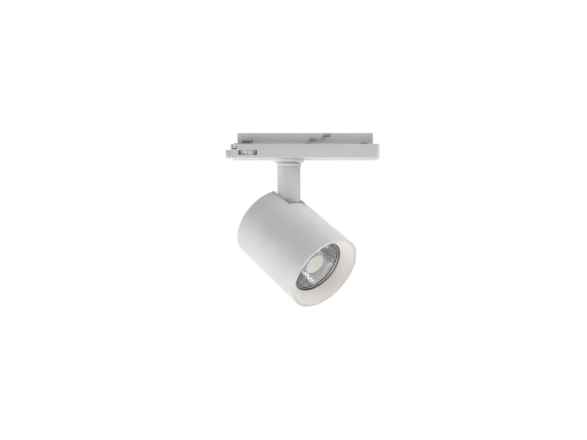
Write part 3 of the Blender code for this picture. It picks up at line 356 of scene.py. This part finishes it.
class Shader:
    """A Principled material with helpers for its texture nodes, in the piece's own coordinates."""

    def __init__(self, name):
        self.material = bpy.data.materials.new(name)
        self.material.use_nodes = True
        self.tree = self.material.node_tree
        self.main = self.tree.nodes["Principled BSDF"]
        self.place = self.tree.nodes.new("ShaderNodeTexCoord").outputs["Object"]

    def node(self, kind, **settings):
        made = self.tree.nodes.new(kind)
        for key, value in settings.items():
            setattr(made, key, value)
        return made

    def link(self, start, end):
        self.tree.links.new(start, end)

    def set(self, **values):
        for key, value in values.items():
            self.main.inputs[key.replace("_", " ")].default_value = value

    def noise(self, scale, detail=3.0, stretch=(1, 1, 1)):
        mapping = self.node("ShaderNodeMapping")
        mapping.inputs["Scale"].default_value = stretch
        self.link(self.place, mapping.inputs["Vector"])
        made = self.node("ShaderNodeTexNoise")
        made.inputs["Scale"].default_value = scale
        made.inputs["Detail"].default_value = detail
        self.link(mapping.outputs["Vector"], made.inputs["Vector"])
        return made.outputs["Fac"]

    def cells(self, scale, feature="F1"):
        made = self.node("ShaderNodeTexVoronoi", feature=feature)
        made.inputs["Scale"].default_value = scale
        self.link(self.place, made.inputs["Vector"])
        return made.outputs["Distance"]

    def ramp(self, value, low, high, from_low=0.3, from_high=0.7):
        """Map a value to a number range."""
        made = self.node("ShaderNodeMapRange")
        made.inputs["From Min"].default_value = from_low
        made.inputs["From Max"].default_value = from_high
        made.inputs["To Min"].default_value = low
        made.inputs["To Max"].default_value = high
        self.link(value, made.inputs["Value"])
        return made.outputs["Result"]

    def mix(self, value, first, second):
        """Blend two colours by a value from 0 to 1."""
        made = self.node("ShaderNodeMix", data_type="RGBA")
        made.inputs["A"].default_value = (*first, 1)
        made.inputs["B"].default_value = (*second, 1)
        self.link(value, made.inputs["Factor"])
        return made.outputs["Result"]

    def color(self, output):
        self.link(output, self.main.inputs["Base Color"])

    def roughness(self, output):
        self.link(output, self.main.inputs["Roughness"])

    def bump(self, output, depth, strength=1.0):
        made = self.node("ShaderNodeBump")
        made.inputs["Distance"].default_value = depth
        made.inputs["Strength"].default_value = strength
        self.link(output, made.inputs["Height"])
        self.link(made.outputs["Normal"], self.main.inputs["Normal"])


def shade(color, factor):
    return tuple(min(1.0, c * factor) for c in color)


def coated(name, color, roughness, grain, depth, variation=0.03):
    """Powder coat or moulded plastic: a fine even grain with a slight cloudiness."""
    s = Shader(name)
    fine = s.noise(grain, 2.0)
    cloud = s.noise(38, 3.0)
    s.color(s.mix(s.ramp(cloud, 0, 1), shade(color, 1 - variation), shade(color, 1 + variation / 2)))
    s.roughness(s.ramp(fine, roughness - 0.06, roughness + 0.08))
    s.bump(fine, depth, 0.8)
    return s.material


def metal(name, color, roughness, grain=1600, depth=0.00002, stretch=(1, 1, 1), tarnish=0.12):
    """Metal with a drawn or cast surface and a little uneven tarnish."""
    s = Shader(name)
    s.set(Metallic=1.0)
    lines = s.noise(grain, 3.0, stretch)
    cloud = s.noise(90, 4.0)
    s.color(s.mix(s.ramp(cloud, 0, 1), shade(color, 1 - tarnish), color))
    s.roughness(s.ramp(lines, roughness - 0.08, roughness + 0.1))
    s.bump(lines, depth, 0.5)
    return s.material


def board_material():
    """Green solder mask with paler copper runs under it and a scatter of solder pads."""
    s = Shader("circuit_board")
    s.set(Coat_Weight=0.4, Coat_Roughness=0.15)
    runs = s.cells(260, "F2")
    pads = s.cells(420)
    tracks = s.mix(s.ramp(runs, 0, 1, 0.52, 0.60), (0.030, 0.16, 0.07), (0.06, 0.27, 0.12))
    top = s.node("ShaderNodeMix", data_type="RGBA")
    s.link(s.ramp(pads, 1, 0, 0.12, 0.16), top.inputs["Factor"])
    s.link(tracks, top.inputs["A"])
    top.inputs["B"].default_value = (0.62, 0.62, 0.60, 1)
    s.color(top.outputs["Result"])
    s.roughness(s.ramp(s.noise(300), 0.3, 0.45))
    s.bump(runs, 0.00003, 0.5)
    return s.material


def reflector_material():
    """Vacuum-metallised mirror with a fine hammered skin."""
    s = Shader("mirror_coating")
    s.set(Metallic=1.0)
    hammer = s.cells(480)
    s.color(s.mix(s.ramp(s.noise(120), 0.3, 0.7), (0.72, 0.73, 0.75), (0.95, 0.96, 0.97)))
    s.roughness(s.ramp(s.noise(500), 0.07, 0.13))
    s.bump(hammer, 0.0003, 0.4)
    return s.material


def glass_material():
    """Clear cover glass that lets the light of lamps through."""
    s = Shader("clear_glass")
    s.set(Transmission_Weight=1.0, IOR=1.45)
    s.color(s.mix(s.ramp(s.noise(60), 0, 1), (0.96, 0.98, 0.98), (1.0, 1.0, 1.0)))
    s.roughness(s.ramp(s.noise(200), 0.0, 0.02))
    clear = s.node("ShaderNodeBsdfTransparent")
    rays = s.node("ShaderNodeLightPath")
    pick = s.node("ShaderNodeMixShader")
    s.link(rays.outputs["Is Shadow Ray"], pick.inputs["Fac"])
    s.link(s.main.outputs["BSDF"], pick.inputs[1])
    s.link(clear.outputs["BSDF"], pick.inputs[2])
    s.link(pick.outputs["Shader"], s.tree.nodes["Material Output"].inputs["Surface"])
    return s.material


def lens_material():
    """Frosted lens over the chip: cream where the phosphor shows through, paler at its edge."""
    s = Shader("frosted_lens")
    s.set(Coat_Weight=0.5, Coat_Roughness=0.12)
    centre = HEAD @ Vector((0, 0, LENS_FRONT))
    away = s.node("ShaderNodeVectorMath", operation="DISTANCE")
    away.inputs[1].default_value = centre
    s.link(s.place, away.inputs[0])
    ring = s.ramp(away.outputs["Value"], 0, 1, LENS_RADIUS * 0.5, LENS_RADIUS * 1.02)
    s.color(s.mix(ring, (0.86, 0.82, 0.67), (0.84, 0.84, 0.80)))
    s.roughness(s.ramp(s.noise(900), 0.28, 0.40))
    s.bump(s.noise(1500, 2.0), 0.00004, 0.5)
    return s.material


def phosphor_material():
    s = Shader("led_phosphor")
    s.set(Coat_Weight=0.6, Coat_Roughness=0.08)
    dots = s.cells(700)
    s.color(s.mix(s.ramp(dots, 0, 1, 0.2, 0.6), (0.92, 0.74, 0.20), (0.96, 0.84, 0.38)))
    s.roughness(s.ramp(s.noise(400), 0.3, 0.4))
    s.bump(dots, 0.00005, 0.4)
    return s.material


def add_materials():
    steel = metal("zinc_steel", (0.58, 0.59, 0.61), 0.33, 700, 0.00003, (1, 1, 6))
    return {
        "powder_coat": coated("powder_coat", (0.80, 0.80, 0.80), 0.52, 1900, 0.00011),
        "white_plastic": coated("white_plastic", (0.81, 0.81, 0.805), 0.46, 3000, 0.00005),
        "black_plastic": coated("black_plastic", (0.025, 0.025, 0.027), 0.5, 3000, 0.00004, 0.2),
        "cream_baffle": coated("cream_baffle", (0.92, 0.875, 0.84), 0.62, 2800, 0.00005, 0.02),
        "zinc_steel": steel,
        "copper": metal("copper", (0.74, 0.43, 0.25), 0.28, 900, 0.00002, (6, 1, 1), 0.2),
        "bare_aluminium": metal("bare_aluminium", (0.74, 0.75, 0.76), 0.38, 1500, 0.00005),
        # The retaining ring is a real part; its dark grey is partly painted shade for the recess behind the
        # baffle.
        "dark_ring": metal("dark_ring", (0.20, 0.20, 0.205), 0.42, 1500, 0.00003),
        "polished_lip": metal("polished_lip", (0.88, 0.88, 0.89), 0.16, 1200, 0.00001),
        "mirror_coating": reflector_material(),
        "clear_glass": glass_material(),
        "frosted_lens": lens_material(),
        "phosphor": phosphor_material(),
        "circuit_board": board_material(),
        "ferrite": coated("ferrite", (0.075, 0.075, 0.085), 0.62, 1800, 0.00006, 0.25),
        "capacitor_sleeve": coated("capacitor_sleeve", (0.03, 0.04, 0.13), 0.3, 900, 0.00002, 0.2),
        "capacitor_box": coated("capacitor_box", (0.62, 0.42, 0.06), 0.4, 1200, 0.00002, 0.12),
        "cable_sheath": coated("cable_sheath", (0.42, 0.42, 0.43), 0.5, 1500, 0.00004, 0.1),
        "red_wire": coated("red_wire", (0.50, 0.03, 0.025), 0.4, 1500, 0.00002, 0.1),
        "black_wire": coated("black_wire", (0.02, 0.02, 0.02), 0.4, 1500, 0.00002, 0.2),
    }


# ---------------------------------------------------------------- head


def head_tube():
    """A thin round tube whose slot for the stem is open at the rear."""
    half = atan2(SLOT_HALF_WIDTH, sqrt(TUBE_RADIUS**2 - SLOT_HALF_WIDTH**2))
    across, around = 24, 216
    turns = [pi - half + 2 * half * i / across for i in range(across)]
    turns += [pi + half + (2 * pi - 2 * half) * i / around for i in range(around)]
    rows = [0, 10 * MM, 20 * MM, SLOT_END, 45 * MM, 65 * MM, 85 * MM, TUBE_LENGTH]
    bm = bmesh.new()
    grid = [[bm.verts.new((TUBE_RADIUS * cos(a), TUBE_RADIUS * sin(a), z)) for a in turns] for z in rows]
    for r in range(len(rows) - 1):
        for i in range(len(turns)):
            if rows[r + 1] <= SLOT_END and i < across:
                continue
            j = (i + 1) % len(turns)
            bm.faces.new((grid[r][i], grid[r][j], grid[r + 1][j], grid[r + 1][i]))
    loose = [v for v in bm.verts if not v.link_faces]
    bmesh.ops.delete(bm, geom=loose, context="VERTS")
    item = from_bmesh("head_tube_fine", bm)
    shell = item.modifiers.new("Wall", "SOLIDIFY")
    shell.thickness = TUBE_WALL
    shell.offset = -1
    shell.use_even_offset = True
    apply_modifiers(item)
    straighten_slot(item)
    bevel(item, 0.4 * MM, 3, 40)
    item.data.transform(HEAD)
    return smooth(item, 40)


def straighten_slot(item):
    """Bring the slot's inner edges out to the same width as its outer ones."""
    for vert in item.data.vertices:
        x, y, z = vert.co
        in_slot = abs(y) < SLOT_HALF_WIDTH and x < 0 and z < SLOT_END - MM
        corner = abs(abs(y) - SLOT_HALF_WIDTH) < 0.75 * MM and x < 0 and z < SLOT_END + 0.1 * MM
        if in_slot or corner:
            radius = hypot(x, y)
            y = SLOT_HALF_WIDTH if y > 0 else -SLOT_HALF_WIDTH
            vert.co = (-sqrt(radius**2 - y**2), y, z)


def baffle_ring():
    rear = BAFFLE_REAR - MM
    outline = [
        (FIT_RADIUS, BAFFLE_FRONT, 0.25 * MM),
        (FIT_RADIUS - 0.7 * MM, BAFFLE_FRONT, 0.2 * MM),
        (BAFFLE_THROAT, BAFFLE_REAR, 0.25 * MM),
        (BAFFLE_THROAT, rear, 0.2 * MM),
        (BAFFLE_THROAT + 0.9 * MM, rear, 0),
        (42.4 * MM, BAFFLE_FRONT - 2.2 * MM, 0),
        (42.4 * MM, rear, 0),
        (FIT_RADIUS, rear, 0),
    ]
    return lathe("baffle_ring_fine", fillet(outline))


# Dark grey ring behind the baffle: a real part whose dark colour is partly painted shade in the recess.
def retaining_ring():
    front = BAFFLE_REAR - 1.3 * MM
    rear = RETAINER_REAR
    outline = [
        (FIT_RADIUS, front, 0),
        (BAFFLE_THROAT + 0.3 * MM, front, 0.2 * MM),
        (REFLECTOR_MOUTH + 0.5 * MM, rear + 0.35 * MM, 0.1 * MM),
        (REFLECTOR_MOUTH + 0.5 * MM, rear, 0),
        (FIT_RADIUS, rear, 0),
    ]
    return lathe("retaining_ring_fine", fillet(outline))


def lens_bezel():
    """The polished lip at the retaining ring's inner edge."""
    outline = []
    for a in full_turn(14):
        radius = REFLECTOR_MOUTH + LIP_HALF_WIDTH * (1 + cos(a))
        outline.append((radius, LIP_MIDDLE + LIP_HALF_HEIGHT * sin(a)))
    return lathe("lens_bezel", outline)


def front_glass():
    low, high = GLASS_MIDDLE - GLASS_THICKNESS / 2, GLASS_MIDDLE + GLASS_THICKNESS / 2
    outline = [(GLASS_RADIUS, high, 0.15 * MM), (0, high, 0), (0, low, 0), (GLASS_RADIUS, low, 0.15 * MM)]
    return lathe("front_glass_fine", fillet(outline))


def bowl(share):
    return REFLECTOR_THROAT + (REFLECTOR_MOUTH - REFLECTOR_THROAT) * share**0.55


def reflector():
    """A bowl of small convex facets, each raised a little at its middle."""
    rows, columns, raise_by = 7, 36, 0.03 * MM
    wall = 1.0 * MM
    depth = REFLECTOR_FRONT - REFLECTOR_REAR
    bm = bmesh.new()
    grid = []
    for r in range(2 * rows + 1):
        share = (r / (2 * rows)) ** 1.25
        line = []
        for c in range(2 * columns):
            middle = r % 2 == 1 and c % 2 == 1
            radius = bowl(share) - (raise_by if middle else 0)
            angle = pi * c / columns
            height = REFLECTOR_REAR + depth * share
            line.append(bm.verts.new((radius * cos(angle), radius * sin(angle), height)))
        grid.append(line)
    for r in range(2 * rows):
        for c in range(2 * columns):
            d = (c + 1) % (2 * columns)
            bm.faces.new((grid[r][c], grid[r][d], grid[r + 1][d], grid[r + 1][c]))
    outer = []
    for z in (REFLECTOR_FRONT, REFLECTOR_FRONT - wall):
        outer.append(ring_of(bm, REFLECTOR_RIM, z, 2 * columns))
    for share in (0.85, 0.6, 0.3, 0.1, 0):
        outer.append(ring_of(bm, bowl(share) + wall, REFLECTOR_REAR + (depth - wall) * share, 2 * columns))
    lines = [grid[-1]] + outer + [grid[0]]
    for first, second in zip(lines, lines[1:]):
        join_rings(bm, first, second)
    for edge in bm.edges:
        edge.smooth = True
    item = from_bmesh("reflector_fine", bm)
    item.data.shade_smooth()
    mark_facets(item, rows, columns)
    item.data.transform(HEAD)
    return item


def ring_of(bm, radius, z, count):
    return [bm.verts.new((radius * cos(a), radius * sin(a), z)) for a in full_turn(count)]


def mark_facets(item, rows, columns):
    """Edges between facets stay sharp; the four quads of one facet shade as one."""
    width = 2 * columns
    limit = (2 * rows + 1) * width
    for edge in item.data.edges:
        a, b = edge.vertices
        if a >= limit or b >= limit:
            edge.use_edge_sharp = a >= limit and b >= limit
            continue
        ra, ca, rb, cb = a // width, a % width, b // width, b % width
        same_row_line = ra == rb and ra % 2 == 0
        same_column_line = ca == cb and ca % 2 == 0
        edge.use_edge_sharp = same_row_line or same_column_line


def condenser_lens():
    steps = 20
    dome = []
    for i in range(steps + 1):
        a = (pi / 2) * i / steps
        dome.append((LENS_RADIUS * sin(a), LENS_FRONT - LENS_RISE + LENS_RISE * cos(a)))
    outline = dome[::-1] + [(0, LENS_REAR), (LENS_RADIUS - 1.5 * MM, LENS_REAR)]
    return lathe("condenser_lens_fine", outline, 128)


def rear_cover():
    """A recessed disc with a notch for the stem, rows of vents and two screw holes."""
    outline = [
        (FIT_RADIUS, COVER_INNER, 0),
        (0, COVER_INNER, 0),
        (0, COVER_OUTER, 0),
        (FIT_RADIUS, COVER_OUTER, 0.4 * MM),
    ]
    item = lathe("rear_cover_fine", fillet(outline), SEGMENTS, WORLD)
    half, end, past = COVER_NOTCH_HALF_WIDTH, COVER_NOTCH_END, -50 * MM
    notch = [(past, -half, 0), (end, -half, 2 * MM), (end, half, 2 * MM), (past, half, 0)]
    cut(item, prism("notch", fillet(notch), 0, COVER_CUT))
    for row in range(VENT_ROWS):
        left = VENT_START + row * VENT_PITCH - VENT_HALF_WIDTH
        right = VENT_START + row * VENT_PITCH + VENT_HALF_WIDTH
        near, far = -VENT_HALF_LENGTH, VENT_HALF_LENGTH
        corners = [(left, near), (right, near), (right, far), (left, far)]
        cut(item, prism("vent", fillet([(*p, VENT_CORNER) for p in corners]), 0, COVER_CUT))
    for y in (-COVER_SCREW_Y, COVER_SCREW_Y):
        cut(item, rod("hole", (0, y, 0), (0, y, COVER_CUT), 1.3 * MM))
    item.data.transform(HEAD)
    return smooth(item)


# ---------------------------------------------------------------- swivel


def swivel_flange():
    top, bottom = FLANGE_TOP, FLANGE_BOTTOM
    outline = [
        (FLANGE_RADIUS, top, 0.4 * MM),
        (FLANGE_RADIUS, bottom + 0.6 * MM, 0.5 * MM),
        (FLANGE_RADIUS - 0.9 * MM, bottom, 0.4 * MM),
        (NIPPLE_HOLE, bottom, 0),
        (NIPPLE_HOLE, top, 0),
    ]
    return lathe("swivel_flange_fine", fillet(outline), SEGMENTS, SWIVEL)


def swivel_collar():
    outline = [
        (12.6 * MM, -20.5 * MM, 0.3 * MM),
        (12.6 * MM, -21.3 * MM, 0.4 * MM),
        (14.3 * MM, -21.7 * MM, 0.9 * MM),
        (14.3 * MM, -24.0 * MM, 1.2 * MM),
        (STEM_RADIUS, -25.4 * MM, 0.3 * MM),
        (11.3 * MM, -25.4 * MM, 0),
        (11.3 * MM, -31.0 * MM, 0.4 * MM),
        (NIPPLE_HOLE, -31.0 * MM, 0),
        (NIPPLE_HOLE, -20.5 * MM, 0),
    ]
    return lathe("swivel_collar_fine", fillet(outline), SEGMENTS, SWIVEL)


def stem_tube():
    """The cast stem: a tube above, and a fork with a round end about the tilt pin below."""
    pivot_z = PIVOT.z
    outline = [
        (STEM_RADIUS, STEM_TOP, 0.3 * MM),
        (STEM_RADIUS, -40 * MM, 0),
        (STEM_RADIUS, pivot_z + 8 * MM, 0),
        (STEM_RADIUS, pivot_z - 15 * MM, 0),
        (0, pivot_z - 15 * MM, 0),
        (0, -52 * MM, 0),
        (11.6 * MM, -52 * MM, 0),
        (11.6 * MM, STEM_TOP, 0),
    ]
    item = lathe("stem_tube_fine", fillet(outline), 128, WORLD)
    upright = Matrix.Rotation(pi / 2, 4, "X")
    end = arc(13.7 * MM, 180, 360, 48, 0, pivot_z)
    side, shoulder = 14.7 * MM, pivot_z + 0.5 * MM
    end += [(side, shoulder), (side, 0), (-side, 0), (-side, shoulder)]
    combine(item, prism("end", end, -20 * MM, 20 * MM, upright), "INTERSECT")
    cut(item, prism("fork_slot", fork_outline(pivot_z), -FORK_HALF_WIDTH, FORK_HALF_WIDTH, upright))
    cut(item, rod("cable_way", (0, 0, pivot_z), (0, 0, -51 * MM), 4.4 * MM))
    cut(item, rod("pin_hole", (0, -20 * MM, pivot_z), (0, 20 * MM, pivot_z), 2.8 * MM))
    for side in (-1, 1):
        cut(item, rod("recess", (0, side * 9 * MM, pivot_z), (0, side * 20 * MM, pivot_z), 4.8 * MM))
    item.data.transform(SWIVEL)
    return smooth(item)


def fork_outline(pivot_z):
    drop, eye, side = radians(31.3), 6.2 * MM, 15 * MM
    touch = pi / 2 - drop
    shoulder = pivot_z + eye * sin(touch) - (side - eye * cos(touch)) * sin(drop) / cos(drop)
    top = arc(eye, 121.3, 58.7, 20, 0, pivot_z)
    foot = pivot_z - 20 * MM
    return top + [(side, shoulder), (side, foot), (-side, foot), (-side, shoulder)]


# ---------------------------------------------------------------- adapter


def rounded_box_outline(left, right, half_width, left_radius, right_radius):
    corners = [
        (left, -half_width, left_radius),
        (right, -half_width, right_radius),
        (right, half_width, right_radius),
        (left, half_width, left_radius),
    ]
    return fillet(corners, 8)


def adapter_housing():
    """The tray under the track, with its dial window, clip notches and the slider's way out."""
    low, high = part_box("adapter_housing")
    outline = rounded_box_outline(low.x, high.x, HOUSING_HALF_WIDTH, 0.8 * MM, 3.5 * MM)
    item = prism("adapter_housing_fine", outline, low.z, high.z)
    bevel(item, 0.45 * MM, 3, 60)
    wall = HOUSING_WALL
    ends = low.x + wall, high.x - wall
    inner = rounded_box_outline(*ends, HOUSING_HALF_WIDTH - wall, 0.5 * MM, 1.5 * MM)
    cut(item, prism("hollow", inner, low.z + wall, 5 * MM))
    cut(item, block("window", WINDOW_LOW, WINDOW_HIGH))
    for side in (-1, 1):
        y0, y1 = sorted((side * 19 * MM, side * 15.5 * MM))
        cut(item, block("notch", (-65.6 * MM, y0, -6.1 * MM), (-60.2 * MM, y1, MM)))
    outside, inside = low.x - MM, low.x + wall + 0.5 * MM
    cut(item, block("tab_way", (outside, -6.4 * MM, -14 * MM), (inside, 6.4 * MM, -5.6 * MM)))
    cut(item, block("riser_way", (outside, -3.4 * MM, -6 * MM), (inside, 3.4 * MM, MM)))
    cut(item, rod("nipple_hole", (0, 0, low.z - MM), (0, 0, low.z + 5 * MM), NIPPLE_HOLE))
    for x in (-14 * MM, 14 * MM):
        cut(item, rod("screw_hole", (x, 0, low.z - MM), (x, 0, low.z + 5 * MM), 1.1 * MM))
    return smooth(item, 40)


def phase_wheel():
    """The ribbed thumb wheel behind the window."""
    place = Vector(joint("phase_select")["pos_m"])
    low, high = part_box("phase_selector_wheel")
    steps, radius = 12 * WHEEL_TEETH, (high.x - low.x) / 2
    outline = []
    for a in full_turn(steps):
        r = radius - WHEEL_GROOVE * (0.5 + 0.5 * cos(WHEEL_TEETH * a)) ** 6
        outline.append((place.x + r * cos(a), place.y + r * sin(a)))
    item = prism("phase_wheel_fine", outline, low.z, high.z)
    under, over = (place.x, place.y, low.z - MM), (place.x, place.y, high.z + MM)
    cut(item, rod("axle_hole", under, over, 2.5 * MM))
    return smooth(item, 50)


def release_tab():
    """The plain pull tab, its neck, riser and cam bar with two pins."""
    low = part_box("release_slider")[0]
    tab = block("release_slider_fine", (low.x, -7 * MM, -15 * MM), (-69.2 * MM, 7 * MM, -6 * MM))
    bevel(tab, 0.5 * MM, 3)
    pieces = [
        ((-69.6 * MM, -5.9 * MM, -13.8 * MM), (-62.5 * MM, 5.9 * MM, -6.2 * MM)),
        ((-64.5 * MM, -3 * MM, -8 * MM), (-62.5 * MM, 3 * MM, 2.2 * MM)),
        ((-63.5 * MM, -3 * MM, 0.2 * MM), (-24 * MM, 3 * MM, 2.19 * MM)),
    ]
    for a, b in pieces:
        fuse(tab, block("bar", a, b))
    for x, side in ((-46 * MM, -1), (-28 * MM, 1)):
        fuse(tab, rod("pin", (x, side * 1.6 * MM, 1.2 * MM), (x, side * 1.6 * MM, 6 * MM), 1.2 * MM, 32))
    return smooth(tab, 40)


# ---------------------------------------------------------------- studio


def add_world():
    """White to the camera. For light it is an even glow with a soft lobe from behind."""
    world = bpy.data.worlds.new("studio")
    bpy.context.scene.world = world
    world.use_nodes = True
    tree = world.node_tree
    lit = tree.nodes["Background"]
    lit.inputs["Color"].default_value = (1, 1, 1, 1)
    seen = tree.nodes.new("ShaderNodeBackground")
    seen.inputs["Color"].default_value = (1, 1, 1, 1)
    seen.inputs["Strength"].default_value = BACKDROP
    direction = tree.nodes.new("ShaderNodeTexCoord").outputs["Generated"]
    total = tree.nodes.new("ShaderNodeValue").outputs["Value"]
    total.default_value = GLOW
    for toward, power in LOBES:
        slope = tree.nodes.new("ShaderNodeVectorMath")
        slope.operation = "DOT_PRODUCT"
        slope.inputs[1].default_value = toward
        tree.links.new(direction, slope.inputs[0])
        kept = world_math(tree, "MAXIMUM", slope.outputs["Value"], 0.0)
        total = world_math(tree, "ADD", total, world_math(tree, "MULTIPLY", kept, power))
    tree.links.new(total, lit.inputs["Strength"])
    rays = tree.nodes.new("ShaderNodeLightPath")
    pick = tree.nodes.new("ShaderNodeMixShader")
    tree.links.new(rays.outputs["Is Camera Ray"], pick.inputs["Fac"])
    tree.links.new(lit.outputs["Background"], pick.inputs[1])
    tree.links.new(seen.outputs["Background"], pick.inputs[2])
    tree.links.new(pick.outputs["Shader"], tree.nodes["World Output"].inputs["Surface"])


def world_math(tree, operation, first, second):
    made = tree.nodes.new("ShaderNodeMath")
    made.operation = operation
    for socket, value in zip(made.inputs, (first, second)):
        if isinstance(value, float):
            socket.default_value = value
        else:
            tree.links.new(value, socket)
    return made.outputs["Value"]


def add_soft_boxes():
    for name, (place, aim, size, power) in SOFT_BOXES.items():
        data = bpy.data.lights.new(name, "AREA")
        data.size = size
        data.energy = power
        lamp = bpy.data.objects.new(name, data)
        lamp.location = place
        lamp.visible_camera = False
        lamp.rotation_euler = (Vector(aim) - Vector(place)).to_track_quat("-Z", "Y").to_euler()
        bpy.context.scene.collection.objects.link(lamp)


def add_floor():
    """A pale round floor well below the lamp."""
    outline = [
        (FLOOR_RADIUS - 0.01, FLOOR_TOP),
        (FLOOR_RADIUS, FLOOR_TOP - 0.004),
        (FLOOR_RADIUS, FLOOR_UNDER),
        (0, FLOOR_UNDER),
        (0, FLOOR_TOP),
    ]
    floor = lathe("floor", outline, 128, WORLD)
    floor.data.materials.append(coated("floor_paint", (0.86, 0.86, 0.86), 0.7, 60, 0.0002))


# ---------------------------------------------------------------- assembly


def dress_cad_nodes(paints):
    """Every CAD node gets the fine material of its slot; those with a fine mesh are hidden later."""
    for part in frame["record"]["subparts"]:
        node = frame["nodes"][part["node"]]
        node.data.materials.clear()
        node.data.materials.append(paints[part["material_slot"]])


def build_pieces(paints):
    coat, plastic = paints["powder_coat"], paints["white_plastic"]
    finish_piece(head_tube(), "head", coat, "powder_coat", "head_tube")
    finish_piece(baffle_ring(), "head", paints["cream_baffle"], "cream_baffle", "baffle_ring")
    finish_piece(retaining_ring(), "head", paints["dark_ring"], "dark_ring", "retaining_ring")
    finish_piece(lens_bezel(), "head", paints["polished_lip"], "dark_ring")
    finish_piece(front_glass(), "head", paints["clear_glass"], "clear_glass", "front_glass")
    finish_piece(reflector(), "head", paints["mirror_coating"], "mirror_coating", "reflector")
    finish_piece(condenser_lens(), "head", paints["frosted_lens"], "frosted_lens", "condenser_lens")
    finish_piece(rear_cover(), "head", coat, "powder_coat", "rear_cover")
    finish_piece(swivel_flange(), "adapter", coat, "powder_coat", "swivel_flange")
    finish_piece(swivel_collar(), "swivel", coat, "powder_coat", "swivel_collar")
    finish_piece(stem_tube(), "swivel", coat, "powder_coat", "stem_tube")
    finish_piece(adapter_housing(), "adapter", plastic, "white_plastic", "adapter_housing")
    finish_piece(phase_wheel(), "selector", plastic, "white_plastic", "phase_selector_wheel")
    finish_piece(release_tab(), "release", plastic, "white_plastic", "release_slider")


add_camera()
bpy.context.scene.view_settings.view_transform = "Standard"
paints = add_materials()
dress_cad_nodes(paints)
build_pieces(paints)
add_floor()
add_world()
add_soft_boxes()
